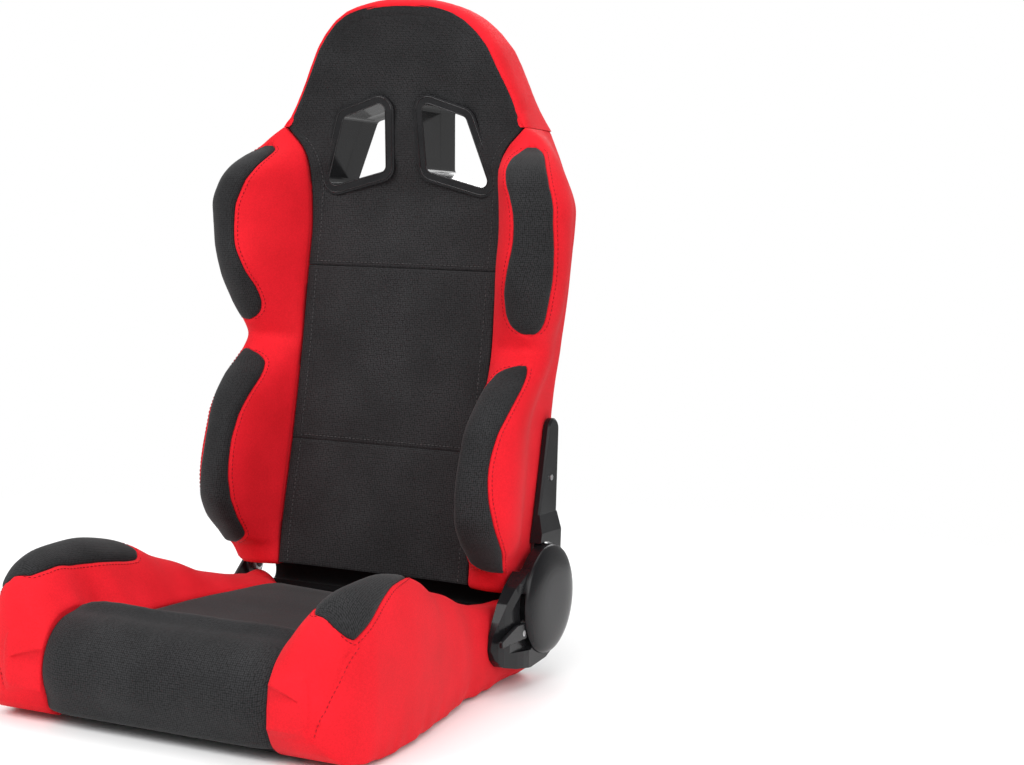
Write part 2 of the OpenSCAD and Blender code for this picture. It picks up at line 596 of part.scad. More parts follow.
// Front roll: sections along the seat, set across it
function roll_end(x) = let (t = max(0, (abs(x) - 132) / 32)) sqrt(max(0, 1 - t * t));
module front_roll() {
    n = 12;
    xs = [-156, -150, -135, -110, -75, -38, 0, 38, 75, 110, 135, 150, 156];
    color(black) loft([for (x = xs)
        let (k = roll_end(x), low = mix(24, 14, k), front = -base_front + mix(16, -6, k),
             top = roll_height - mix(16, 0, k))
        [for (p = concat(
            [[roll_rear, pad_under + soft_gap], [-252, pad_under + soft_gap], [-268, low + 6],
             [-280, low], [front + 12, low + 10]],
            [for (i = [0:n]) let (a = 210 - 120 * i / n)
                [-242 + (-242 - front) * cos(a) , mix(low + 40, top - 62, 0.5) + 62 * sin(a)]],
            [[-215, top - 7], [roll_rear, seat_pad_height + 4]])) [x, p[0], p[1]]]]);
}

module seat_pad() {
    ys = [roll_rear + soft_gap, -150, -110, -70, -30, 10, 60, 95, 130, 160, 182, 205];
    cols = 8;
    color(black) loft([for (y = ys)
        let (half = seat_seam(y) - soft_gap,
             edge = dip_z(y), middle = min(edge, lookup(y, [[-188, seat_pad_height + 6], [-100, seat_pad_height - 2],
                 [60, seat_pad_height - 4], [150, seat_pad_height - 6], [206, 70]])))
        [for (p = concat(
            [for (i = [0:cols]) let (u = 2 * i / cols - 1) [half * u, mix(middle, edge, u * u)]],
            [for (i = [cols:-1:0]) let (u = 2 * i / cols - 1) [half * u, pad_under + back_bow * u * u]]))
            [p[0], y, p[1]]]]);
}

// Covered rear of the base: a rounded strip that clears the heel of the backrest
module base_rear_panel() {
    t = rear_panel_thickness;
    top = pivot_z - 22;
    half = base_half(base_rear);
    corner = 32;
    color(black) intersection() {
        along_x(-half, half)
            polygon([[base_rear - t, 4], [base_rear, 4], [base_rear, top - 3], [base_rear - 3, top],
                     [base_rear - t, top - 6]]);
        along_y(200, 300) hull() {
            for (s = [1, -1]) translate([s * (half - corner), 4 + corner]) circle(r = corner);
            translate([-half, top - 1]) square([2 * half, 1]);
        }
    }
}

// ---- recliner and hinge --------------------------------------------------
// Bolts that hold the lower plates to the base frame, as [y, z]
plate_bolt_at = [[166, 50], [206, 44]];
bolt_head_r = 7.5;
bolt_head_h = 2.3;
pivot_r = 8;
pivot_neck_r = 6;
lever_axis = [203, 84];
lever_shaft_r = 5;
pawl_axis = [240, 52];
pawl_pin_r = 4;
pawl_angle = 235;
tooth_h = 2.2;
tooth_pitch = 360 / sector_teeth;
tooth_gap = 0.5;
spring_peg_r = 30;
spring_peg_at = 60;
cover_screw_at = [[168, 108], [184, 42]];
cover_screw_r = 2;

module at_pivot(x) {
    translate([x, pivot_y, pivot_z]) children();
}

// Lower plate outline, in the side view
module lower_plate_shape(recliner) {
    difference() {
        hull() {
            translate([pivot_y, pivot_z]) circle(r = recliner ? spring_peg_r + 5 : 20);
            for (b = plate_bolt_at) translate(b) circle(r = 12);
            if (recliner) {
                translate(lever_axis) circle(r = 12);
                translate(pawl_axis) circle(r = 10);
                for (c = cover_screw_at) translate(c) circle(r = 7);
            }
        }
        translate([pivot_y, pivot_z]) circle(r = pivot_r + pin_gap);
        for (b = plate_bolt_at) translate(b) circle(r = bolt_r + 0.25);
        if (recliner) {
            translate(lever_axis) circle(r = lever_shaft_r + pin_gap);
            translate(pawl_axis) circle(r = pawl_pin_r);
            for (c = cover_screw_at) translate(c) circle(r = cover_screw_r + 0.2);
        }
    }
}

module recliner_plate() {
    color(steel) {
        along_x(plate_in, plate_in + plate_t) lower_plate_shape(true);
        at_pivot(plate_in + plate_t - 0.5) rotate([spring_peg_at, 0, 0]) translate([0, spring_peg_r, 0])
            rotate([0, 90, 0]) cylinder(h = 7.5, r = 2.5);
    }
}

module hinge_plate() {
    color(plastic) mirror_x() along_x(plate_in, plate_in + plate_t) lower_plate_shape(false);
}

// Teeth on the rim, from one angle to another, in the side view
module sector(from, to) {
    root = sector_r - tooth_h;
    half_root = root * sin(tooth_pitch * 0.42);
    circle(r = root);
    for (a = [from:tooth_pitch:to]) rotate(a)
        polygon([[root - 1, -half_root], [sector_r, -0.7], [sector_r, 0.7], [root - 1, half_root]]);
}

module arm_shape(top, r_top, holes) {
    difference() {
        hull() {
            translate([pivot_y, pivot_z]) circle(r = 20);
            translate(top) circle(r = r_top);
        }
        translate([pivot_y, pivot_z]) circle(r = pivot_neck_r);
        for (b = holes) translate(b) circle(r = bolt_r + 0.25);
    }
}

arm_top = [frame_y(334) + 3, 334];
module recliner_arm() {
    color(steel) along_x(arm_in, arm_in + plate_t) {
        difference() {
            union() {
                arm_shape(arm_top, 10.5, []);
                translate([pivot_y, pivot_z]) sector(pawl_angle - 26, pawl_angle + 72);
            }
            translate([pivot_y, pivot_z]) circle(r = pivot_neck_r);
            for (b = arm_bolt_at) translate(b) circle(r = bolt_r + 0.25);
        }
    }
}

module hinge_arm() {
    color(plastic) mirror_x() along_x(arm_in, arm_in + plate_t)
        arm_shape(arm_bolt_at[0] + [0, 2], 13, [arm_bolt_at[0]]);
}

// Low-headed bolt with a hexagon recess; x is the face it seats on
module low_bolt(x, at, reach) {
    difference() {
        union() {
            rod_x(x - reach, x + 0.5, at[0], at[1], bolt_r);
            rod_x(x, x + bolt_head_h, at[0], at[1], bolt_head_r);
        }
        translate([x + 0.6, at[0], at[1]]) rotate([0, 90, 0]) cylinder(h = 5, r = 2.9, $fn = 6);
    }
}

module arm_bolts() {
    color(steel) {
        for (b = arm_bolt_at) low_bolt(arm_in + plate_t, b, 44);
        mirror_x() low_bolt(arm_in + plate_t, arm_bolt_at[0], 44);
    }
}

module plate_bolts() {
    color(steel) for (s = [0, 1]) mirror([s, 0, 0])
        for (b = plate_bolt_at) low_bolt(plate_in + plate_t, b, 30);
}

// Pivot pin: pressed in the arm, turns in the lower plate, slotted for the spring
shoulder_end = plate_in + plate_t + 0.3;
pin_end = plate_in + plate_t + 8.5;
module pivot_pin() {
    color(steel) at_pivot(0) rotate([0, 90, 0]) difference() {
        union() {
            translate([0, 0, arm_in - 2.5]) cylinder(h = 2.45, r = 9);
            translate([0, 0, arm_in - 1]) cylinder(h = plate_t + 2, r = pivot_neck_r - 0.02);
            translate([0, 0, arm_in + plate_t + 0.1])
                cylinder(h = shoulder_end - arm_in - plate_t - 0.1, r = pivot_r);
            translate([0, 0, shoulder_end - 1]) cylinder(h = pin_end - shoulder_end + 1, r = pivot_neck_r);
        }
        translate([-0.9, -10, pin_end - 6.8]) cube([1.8, 20, 20]);
    }
}

module pivot_clip() {
    color(steel) at_pivot(shoulder_end + 0.05) rotate([0, 90, 0]) difference() {
        cylinder(h = 1, r = 9.5);
        translate([0, 0, -1]) cylinder(h = 3, r = pivot_neck_r + 0.02);
        translate([-2, 0, -1]) cube([4, 12, 4]);
    }
}

module hinge_bolt() {
    color(plastic) mirror_x() at_pivot(0) rotate([0, 90, 0]) {
        translate([0, 0, arm_in - 7.5]) cylinder(h = plate_t + 9, r = pivot_neck_r - 0.02);
        translate([0, 0, arm_in + plate_t + 0.1]) cylinder(h = plate_t + 2 * run_gap, r = pivot_r);
        translate([0, 0, plate_in + plate_t + run_gap]) cylinder(h = 5, r = 12, $fn = 6);
    }
}

module hinge_nut() {
    color(steel) mirror_x() at_pivot(arm_in - 6.6) rotate([0, 90, 0]) difference() {
        cylinder(h = 6.5, r = 11, $fn = 6);
        translate([0, 0, -1]) cylinder(h = 12, r = pivot_neck_r);
    }
}

// Flat spiral spring between the pin and the peg on the lower plate
spring_in_r = 7.2;
spring_out_r = spring_peg_r - 2.5 - 1;
spring_strip = [4.5, 1.4];
spring_x = shoulder_end + 1.5;
spring_facets = 18;
function spring_r(t) = mix(spring_in_r, spring_out_r, t);
function spring_point(t, side, x) =
    let (a = spring_peg_at - 360 * spring_turns * (1 - t), r = spring_r(t) + side * spring_strip[1] / 2)
    [x, r * cos(a), r * sin(a)];
spring_pitch = (spring_out_r - spring_in_r) / spring_turns;
spring_least_gap = spring_pitch - spring_strip[1];
module spiral_spring() {
    n = ceil(spring_turns * spring_facets);
    echo(spring_least_gap = spring_least_gap);
    color(steel) at_pivot(0) loft([for (i = [0:n]) let (t = i / n)
        [spring_point(t, -1, spring_x), spring_point(t, 1, spring_x),
         spring_point(t, 1, spring_x + spring_strip[0]), spring_point(t, -1, spring_x + spring_strip[0])]]);
}

// Pawl below the sector, drawn just clear of the teeth; its finger reaches under the lever's cam
pawl_finger = [206, 72];
module pawl() {
    reach = sector_r + tooth_gap;
    color(steel) along_x(arm_in, arm_in + plate_t) difference() {
        union() {
            hull() {
                translate(pawl_axis) circle(r = 8);
                translate([pivot_y, pivot_z]) rotate(pawl_angle) translate([reach + 8, 0]) circle(r = 4.5);
            }
            hull() for (a = [-5, 8])
                translate([pivot_y, pivot_z]) rotate(pawl_angle + a) translate([reach + 6, 0]) circle(r = 3.5);
            for (i = [-0.5:1:1.5]) translate([pivot_y, pivot_z]) rotate(pawl_angle + tooth_pitch * i)
                polygon([[reach + 5, 1.9], [reach + 0.2, 0.6], [reach + 0.2, -0.6], [reach + 5, -1.9]]);
            hull() {
                translate([pivot_y, pivot_z]) rotate(pawl_angle) translate([reach + 8, 0]) circle(r = 4);
                translate(pawl_finger) circle(r = 3);
            }
        }
        translate(pawl_axis) circle(r = pawl_pin_r + pin_gap);
    }
}

module pawl_pin() {
    color(steel) {
        rod_x(arm_in - 0.1, plate_in + plate_t + 0.4, pawl_axis[0], pawl_axis[1], pawl_pin_r - 0.02);
        rod_x(plate_in + plate_t + 0.1, plate_in + plate_t + 1.6, pawl_axis[0], pawl_axis[1], pawl_pin_r + 2);
    }
}

// Release lever: a shaft with a cam, a steel tang outside the cover, and a moulded grip
skirt_out = plate_in + plate_t + 8;
tang_in = skirt_out + 1;
tang_t = 2;
cam_tip = [8, -7];
lever_screw_at = [177, 77];
grip_root = [180, 79.5];
grip_mid = [158, 81];
grip_tip = [117, 73.5];
grip_t = 4.4;
module lever_shaft() {
    color(steel) {
        rod_x(arm_in - 0.1, tang_in + tang_t + 0.1, lever_axis[0], lever_axis[1], lever_shaft_r);
        rod_x(tang_in + tang_t + 0.05, tang_in + tang_t + 1.6, lever_axis[0], lever_axis[1], lever_shaft_r + 1.5);
        along_x(arm_in + 0.4, arm_in + plate_t - 0.4) hull() {
            translate(lever_axis) circle(r = lever_shaft_r + 2);
            translate(lever_axis + cam_tip) circle(r = 2.5);
        }
    }
}

module lever_tang() {
    color(steel) along_x(tang_in, tang_in + tang_t) difference() {
        union() {
            hull() {
                translate(lever_axis) circle(r = 9);
                translate(lever_screw_at) circle(r = 7);
            }
            hull() {
                translate(lever_screw_at) circle(r = 7);
                translate(mix(lever_screw_at, grip_tip, 0.5)) circle(r = 4);
            }
        }
        translate(lever_axis) circle(r = lever_shaft_r + 0.03);
        translate(lever_screw_at) circle(r = 2.1);
    }
}

grip_notches = 4;
grip_in = tang_in + tang_t + 0.1;
module grip_shape(grow) {
    hull() {
        translate(grip_root) circle(r = 11 + grow);
        translate(grip_mid) circle(r = 10 + grow);
        translate(grip_tip) circle(r = 5.5 + grow);
    }
}

module lever_grip() {
    along = (grip_tip - grip_root) / norm(grip_tip - grip_root);
    down = [-along[1], along[0]];
    color(plastic) difference() {
        hull() {
            along_x(grip_in, grip_in + grip_t - 1.2) grip_shape(0);
            along_x(grip_in, grip_in + grip_t) grip_shape(-1.2);
        }
        for (i = [0:grip_notches - 1])
            let (c = grip_root + along * (10 + 12.5 * i) + down * (16.2 - 1.2 * i))
                rod_x(grip_in - 1, grip_in + 20, c[0], c[1], 7.5);
        rod_x(grip_in - 1, grip_in + 20, lever_axis[0], lever_axis[1], lever_shaft_r + 3);
        rod_x(grip_in - 1, grip_in + 20, lever_screw_at[0], lever_screw_at[1], 2.2);
        rod_x(grip_in + grip_t - 1.8, grip_in + 20, lever_screw_at[0], lever_screw_at[1], 4.4);
    }
}

module lever_screw() {
    color(steel) {
        rod_x(tang_in + 0.2, grip_in + grip_t - 1.5, lever_screw_at[0], lever_screw_at[1], 2);
        difference() {
            rod_x(grip_in + grip_t - 1.7, grip_in + grip_t, lever_screw_at[0], lever_screw_at[1], 4);
            for (a = [0, 90]) translate([grip_in + grip_t - 0.6, lever_screw_at[0], lever_screw_at[1]])
                rotate([a, 0, 0]) translate([0, -2.5, -0.5]) cube([4, 5, 1]);
        }
    }
}

// ---- covers --------------------------------------------------------------
cover_in = arm_in - 0.3;
dome_out = skirt_out + 19;
rim_x = skirt_out + 8;
rim_depth = 14;
dome_power = 4;
module skirt_shape(inset) {
    p = [[206, 168], [183, 154], [160, 139], [142, 120], [128, 98], [120, 80], [118, 62], [124, 48], [138, 37],
         [165, 31], [200, 27], [248, 32], [280, 45], [292, 54], [296, 66], [250, 90], [214, 130]];
    offset(r = 12) offset(delta = -12 - inset) polygon(p);
}

// Outer face of the skirt, in the top view: from the plate's front edge out to the dome
module skirt_face(inset) {
    s = skirt_out;
    offset(delta = -inset) polygon([[200, 106], [cover_in, 114], [s - 14, 116.5], [s - 10, 121], [s - 6, 128.5],
                                    [s - 3, 139], [s, 153], [s + 3, 167], [s + 5.5, 181], [s + 7, 195],
                                    [s + 7, 400], [200, 400]]);
}

module skirt_body(inset) {
    intersection() {
        along_x(cover_in - 4 * inset, 260) skirt_shape(inset);
        linear_extrude(300) skirt_face(inset);
    }
}

// Dished outer wall, as its reach at a radius
function dome_x(r) = rim_x + (dome_out - rim_x) * sqrt(max(0, 1 - pow(r / dome_r, dome_power)));
module dome(inset) {
    r_out = dome_r - inset;
    rs = [for (i = [0:9]) r_out * sin(9.6 * i)];
    at_pivot(0) rotate([0, 90, 0]) rotate_extrude($fn = 72)
        polygon(concat([[0, rim_x - rim_depth - inset]], [for (r = rs) [r, dome_x(r * dome_r / r_out) - inset]],
                       [[r_out, rim_x - inset], [r_out, rim_x - rim_depth - inset]]));
}

recess_floor = skirt_out - 0.5;
recess_shape = [[171, 130], [192, 130], [192, 92], [206, 60], [200, 51], [150, 54], [124, 62], [137, 92]];
// The posts for the cover's screws reach its wall: the upper one the floor of the recess
function post_end(c) = skirt_out + (c[1] < 50 ? 4.5 : -1.5);
module recliner_cover() {
    color(plastic) {
        difference() {
            union() {
                skirt_body(0);
                dome(0);
            }
            difference() {
                skirt_body(cover_wall);
                along_x(recess_floor - cover_wall, rim_x + 1) offset(delta = 2) polygon(recess_shape);
            }
            dome(cover_wall);
            at_pivot(cover_in - 1) rotate([0, 90, 0]) cylinder(h = rim_x - cover_in, r = dome_r - cover_wall);
            // open rear and top, where the arm swings
            translate([cover_in - 1, pivot_y + 6, pivot_z - 38])
                cube([rim_x - rim_depth - cover_in, 120, 160]);
            translate([cover_in - 1, 186, pivot_z + 30]) cube([rim_x - rim_depth - cover_in, 100, 80]);
            // recess round the lever; its tang passes below the edge of the dome
            along_x(recess_floor, rim_x - 0.1) polygon(recess_shape);
        }
        for (c = cover_screw_at) difference() {
            rod_x(plate_in + plate_t + 0.1, post_end(c), c[0], c[1], 4.5);
            rod_x(plate_in + plate_t, skirt_out - 4, c[0], c[1], cover_screw_r + 0.05);
        }
    }
}

// Countersunk from behind the plate, into the posts of the cover
module cover_screws() {
    color(steel) for (c = cover_screw_at) {
        rod_x(plate_in - 0.2, skirt_out - 5, c[0], c[1], cover_screw_r);
        rod_x(plate_in - 1.4, plate_in - 0.1, c[0], c[1], cover_screw_r + 2);
    }
}

// Long cap over the recliner arm, flared at its foot round the dome
cap_in = arm_in + 0.2;
cap_out = arm_in + plate_t + 5.3;
cap_wall = min(cover_wall, 2.2);
flare_out = cap_out + 7.2;
flare_z = [pivot_z + 88, pivot_z + 112];
cap_bevel = 2.5;
cap_foot_r = dome_r + 2.5;
cap_screw_at = [frame_y(272) + 6, 272];
module cap_shape(grow) {
    offset(delta = grow) hull() {
        translate([236, pivot_z + 58]) square([64, 12]);
        translate([246, pivot_z + 108]) square([51, 1]);
        translate(arm_top + [3, 2]) circle(r = 16.5);
    }
}

module arm_cover() {
    color(plastic) difference() {
        union() {
            hull() {
                along_x(cap_in, cap_out - cap_bevel) cap_shape(0);
                along_x(cap_in, cap_out) cap_shape(-cap_bevel);
            }
            hull() {
                along_x(cap_in, flare_out) intersection() {
                    cap_shape(1);
                    translate([200, 0]) square([120, flare_z[0]]);
                }
                along_x(cap_in, cap_out) intersection() {
                    cap_shape(0);
                    translate([200, 0]) square([120, flare_z[1]]);
                }
            }
        }
        along_x(cap_in - 1, cap_out - cap_wall) cap_shape(-cap_wall);
        at_pivot(0) rotate([0, 90, 0]) cylinder(h = 300, r = cap_foot_r, $fn = 96);
        rod_x(cap_in, cap_out + 2, cap_screw_at[0], cap_screw_at[1], 2.2);
    }
}

module arm_cover_screw() {
    color(steel) {
        rod_x(arm_in + plate_t + 0.3, cap_out + 0.4, cap_screw_at[0], cap_screw_at[1], 2);
        rod_x(cap_out + 0.2, cap_out + 1.8, cap_screw_at[0], cap_screw_at[1], 4);
    }
}

base_frame();
weld_nuts();
seat_wires();
seat_pad();
front_roll();
base_bolster_left();
base_bolster_right();
bolster_tip_left();
bolster_tip_right();
base_rear_panel();
recliner_plate();
hinge_plate();
plate_bolts();
recliner_cover();
cover_screws();
pivot_pin();
pivot_clip();
hinge_bolt();
hinge_nut();
spiral_spring();
lever_shaft();
pawl_pin();
lever_tang();
lever_grip();
lever_screw();
pawl();
back_frame();
back_wires();
centre_pad();
head_pad();
head_border();
back_bolster_left();
back_bolster_right();
upper_insert_left();
upper_insert_right();
lower_insert_left();
lower_insert_right();
rear_panel();
slot_bezel_front_left();
slot_bezel_front_right();
slot_bezel_rear_left();
slot_bezel_rear_right();
recliner_arm();
hinge_arm();
arm_bolts();
arm_cover();
arm_cover_screw();
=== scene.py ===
import math

import bpy
import numpy as np
from mathutils import Matrix, Vector
from mathutils.bvhtree import BVHTree


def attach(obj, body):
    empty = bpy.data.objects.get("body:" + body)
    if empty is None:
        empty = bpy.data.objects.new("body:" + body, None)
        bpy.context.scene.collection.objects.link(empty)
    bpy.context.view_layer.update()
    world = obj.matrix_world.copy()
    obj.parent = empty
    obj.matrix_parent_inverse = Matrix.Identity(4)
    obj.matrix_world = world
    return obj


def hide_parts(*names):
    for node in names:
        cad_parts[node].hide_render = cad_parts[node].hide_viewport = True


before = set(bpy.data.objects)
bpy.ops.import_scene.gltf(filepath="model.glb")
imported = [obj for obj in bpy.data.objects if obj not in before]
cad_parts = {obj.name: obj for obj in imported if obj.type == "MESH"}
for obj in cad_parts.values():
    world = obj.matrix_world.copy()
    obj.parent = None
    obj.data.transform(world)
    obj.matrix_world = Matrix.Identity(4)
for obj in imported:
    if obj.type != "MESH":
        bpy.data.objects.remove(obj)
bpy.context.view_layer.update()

# Pieces are measured in millimetres until their mesh is made, the camera, lamps and materials in metres.
# +X is the recliner side, -Y the front.
scene = bpy.context.scene
scene.view_settings.view_transform = "Standard"

cameraSetup = {
    "place": (1.265933, -1.994866, 0.597376),
    "forward": (-0.43349947, 0.89768501, -0.07899267),
    "up": (-0.06193, 0.05778, 0.99641),
    "lens": 65.04,
    "sensor": 36.0,
    "clip": (0.05, 50),
}


def addCamera(setup):
    lens = bpy.data.cameras.new("camera")
    lens.lens, lens.sensor_width = setup["lens"], setup["sensor"]
    lens.clip_start, lens.clip_end = setup["clip"]
    camera = bpy.data.objects.new("camera", lens)
    forward = Vector(setup["forward"]).normalized()
    right = forward.cross(Vector(setup["up"])).normalized()
    up = right.cross(forward)
    turn = Matrix((right, up, -forward)).transposed().to_4x4()
    camera.matrix_world = Matrix.Translation(setup["place"]) @ turn
    scene.collection.objects.link(camera)
    scene.camera = camera


addCamera(cameraSetup)
print("camera placed")


# Numbers along a curve: profiles, seams and small unevenness
def smooth(points):
    # A curve through the points without overshoot, held flat past both ends
    x, y = np.array(points, float).T
    h = np.diff(x)
    d = np.diff(y) / h
    inner = np.where(d[1:] * d[:-1] > 0, 2 * d[1:] * d[:-1] / (d[1:] + d[:-1] + 1e-12), 0)
    m = np.concatenate([[d[0]], inner, [d[-1]]])

    def at(v):
        v = np.clip(np.asarray(v, float), x[0], x[-1])
        i = np.clip(np.searchsorted(x, v, side="right") - 1, 0, len(h) - 1)
        t = (v - x[i]) / h[i]
        return (y[i] * (1 + 2 * t) * (1 - t) ** 2 + y[i + 1] * t * t * (3 - 2 * t)
                + h[i] * (m[i] * t * (1 - t) ** 2 - m[i + 1] * t * t * (1 - t)))
    return at


def mix(a, b, t):
    return a + (b - a) * t


def bez(a, b, c, d, t):
    return a * (1 - t) ** 3 + 3 * b * t * (1 - t) ** 2 + 3 * c * t * t * (1 - t) + d * t ** 3


def ease(a, b, v):
    t = np.clip((v - a) / (b - a), 0, 1)
    return t * t * (3 - 2 * t)


def roll(distance, width):
    # 1 at a seam, falling to 0 a width away along a quarter circle
    t = 1 - np.clip(distance / width, 0, 1)
    return 1 - np.sqrt(np.clip(1 - t * t, 0, 1))


def gathered(a, b, count):
    # Places from a to b, drawn together near both ends
    f = 0.5 - 0.5 * np.cos(np.linspace(0, math.pi, count))
    return a + (b - a) * f


def acrossPlaces(margin, edgeCount, middleCount):
    # Places from -1 to 1, drawn together near both edges
    edge, inner = gathered(0, margin, edgeCount), 1 - margin
    return np.concatenate([edge[:-1] - 1, np.linspace(-inner, inner, middleCount), 1 - edge[::-1][1:]])


def rowPlaces(*parts):
    # One sorted column of places out of several stretches
    return np.unique(np.round(np.concatenate(parts), 2))[:, None]


def ripple(p, size, seed):
    # Smooth unevenness between about -1 and 1, with bumps about as wide as size
    rng = np.random.default_rng(seed)
    total = 0
    for _ in range(7):
        way = rng.normal(size=3)
        way /= np.linalg.norm(way)
        waves = 2 * math.pi / (size * rng.uniform(0.7, 1.6))
        total = total + np.sin(p @ way * waves + rng.uniform(0, 6.28))
    return total / 3.5


def wavy(p, look):
    # Slow and fine waves together; each is given as height, width and seed
    return sum(high * ripple(p, wide, seed) for high, wide, seed in (look["slow"], look["fine"]))


def unevenness(p, toEdge, look):
    # Slow waves that calm down towards an edge and fine puckers along it, each with its reach last
    high, wide, slowSeed, calmReach = look["slow"]
    deep, narrow, fineSeed, fadeReach = look["fine"]
    return (high * ripple(p, wide, slowSeed) * np.clip(toEdge / calmReach, 0, 1)
            + deep * ripple(p, narrow, fineSeed) * np.exp(-toEdge / fadeReach))


def resample(path, step):
    # Points along a line of points, at an even step
    path = np.asarray(path, float)
    run = np.concatenate([[0], np.cumsum(np.linalg.norm(np.diff(path, axis=0), axis=1))])
    count = max(2, int(round(run[-1] / step)) + 1)
    at = np.linspace(0, run[-1], count)
    return np.stack([np.interp(at, run, path[:, k]) for k in range(path.shape[1])], 1)


def softened(line):
    # A closed line of points, rounded a little
    return (np.roll(line, 1, 0) + 2 * line + np.roll(line, -1, 0)) / 4


def withCount(line, count):
    # The same line of points with another number of them
    here, there = np.linspace(0, 1, len(line)), np.linspace(0, 1, count)
    return np.stack([np.interp(there, here, line[:, k]) for k in range(line.shape[1])], 1)


def pointsAcross(grid, places, at):
    # The point of each row of a grid that lies at its own place across
    return [[np.interp(t, row, points[:, k]) for k in range(3)] for points, row, t in zip(grid, places, at)]


def runAcross(grid):
    # Distance run along each row of a grid of points
    steps = np.linalg.norm(np.diff(grid, axis=1), axis=2)
    return np.concatenate([np.zeros((len(grid), 1)), np.cumsum(steps, 1)], 1)


def toPath(grid, path):
    # Distance of every point of a grid from a line of points
    return np.sqrt(((grid[:, :, None] - path[None, None]) ** 2).sum(-1)).min(-1)


# Materials
def setInputs(tree, node, inputs):
    # Each input gets a fixed value, or the output that feeds it
    for key, value in inputs.items():
        if isinstance(value, bpy.types.NodeSocket):
            tree.links.new(value, node.inputs[key])
        else:
            node.inputs[key].default_value = value


def addNode(tree, kind, inputs, **settings):
    node = tree.nodes.new("ShaderNode" + kind)
    for key, value in settings.items():
        setattr(node, key, value)
    setInputs(tree, node, inputs)
    return node


def newMaterial(name):
    # A new material with its node tree, and the place on the piece to lay patterns out by
    material = bpy.data.materials.new(name)
    material.use_nodes = True
    tree = material.node_tree
    return material, tree, addNode(tree, "TexCoord", {}).outputs["Object"]


def ramp(tree, factor, stops):
    node = addNode(tree, "ValToRGB", {"Fac": factor})
    for element, (place, colour) in zip(node.color_ramp.elements, stops):
        element.position = place
        element.color = tuple(colour) + (1,)
    return node.outputs[0]


def noise(tree, place, scale, detail):
    inputs = {"Vector": place, "Scale": scale, "Detail": detail, "Roughness": 0.55}
    return addNode(tree, "TexNoise", inputs).outputs["Fac"]


def spread(tree, factor, low, high):
    # Lays a factor out between two values
    return addNode(tree, "MapRange", {"Value": factor, "To Min": low, "To Max": high}).outputs[0]


knitLooks = {
    "redKnit": {"deep": (0.64, 0.006, 0.013), "lit": (0.85, 0.012, 0.025), "pitch": 1.15, "rows": 0.9,
                "hole": 0.82, "bump": 0.35, "sheen": 0.02, "rough": 0.78},
    "blackKnit": {"deep": (0.012, 0.012, 0.013), "lit": (0.036, 0.036, 0.038), "pitch": 2.7, "rows": 1.0,
                  "hole": 0.22, "bump": 0.6, "sheen": 0.08, "rough": 0.78},
    "backKnit": {"deep": (0.008, 0.008, 0.009), "lit": (0.017, 0.017, 0.018), "pitch": 1.6, "rows": 1.0,
                 "hole": 0.5, "bump": 0.4, "sheen": 0.06, "rough": 0.8},
}


def knit(name, look):
    # Rows of small loops in the cloth's own flat measure, over a slow mottle
    material, tree, place = newMaterial(name)
    flat = addNode(tree, "UVMap", {}, uv_map="cloth").outputs["UV"]
    perMetre = (1000 / look["pitch"], 1000 / (look["pitch"] * look["rows"]), 1)
    laid = addNode(tree, "VectorMath", {0: flat, 1: perMetre}, operation="MULTIPLY").outputs[0]
    loops = addNode(tree, "TexVoronoi", {"Vector": laid, "Scale": 1, "Randomness": 0.35},
                    voronoi_dimensions="2D").outputs["Distance"]
    slow, fine = noise(tree, place, 14, 4), noise(tree, place, 420, 2)
    share = addNode(tree, "Math", {0: fine, 1: 0.45}, operation="MULTIPLY").outputs[0]
    mottle = addNode(tree, "Math", {0: slow, 1: 0.55, 2: share}, operation="MULTIPLY_ADD").outputs[0]
    yarn = ramp(tree, mottle, [(0.3, look["deep"]), (0.72, look["lit"])])
    holes = ramp(tree, loops, [(0.22, (1, 1, 1)), (0.62, (look["hole"],) * 3)])
    colour = addNode(tree, "Mix", {"Factor": 1.0, 6: yarn, 7: holes}, data_type="RGBA", blend_type="MULTIPLY")
    weave = addNode(tree, "Bump", {"Height": loops, "Strength": look["bump"], "Distance": 0.0004},
                    invert=True)
    soft = addNode(tree, "Bump", {"Height": slow, "Strength": 0.25, "Distance": 0.002,
                                  "Normal": weave.outputs[0]})
    setInputs(tree, tree.nodes["Principled BSDF"], {
        "Base Color": colour.outputs[2], "Normal": soft.outputs[0], "Specular IOR Level": 0.18,
        "Roughness": spread(tree, slow, look["rough"] - 0.08, look["rough"] + 0.1),
        "Sheen Weight": look["sheen"], "Sheen Roughness": 0.45})
    return material


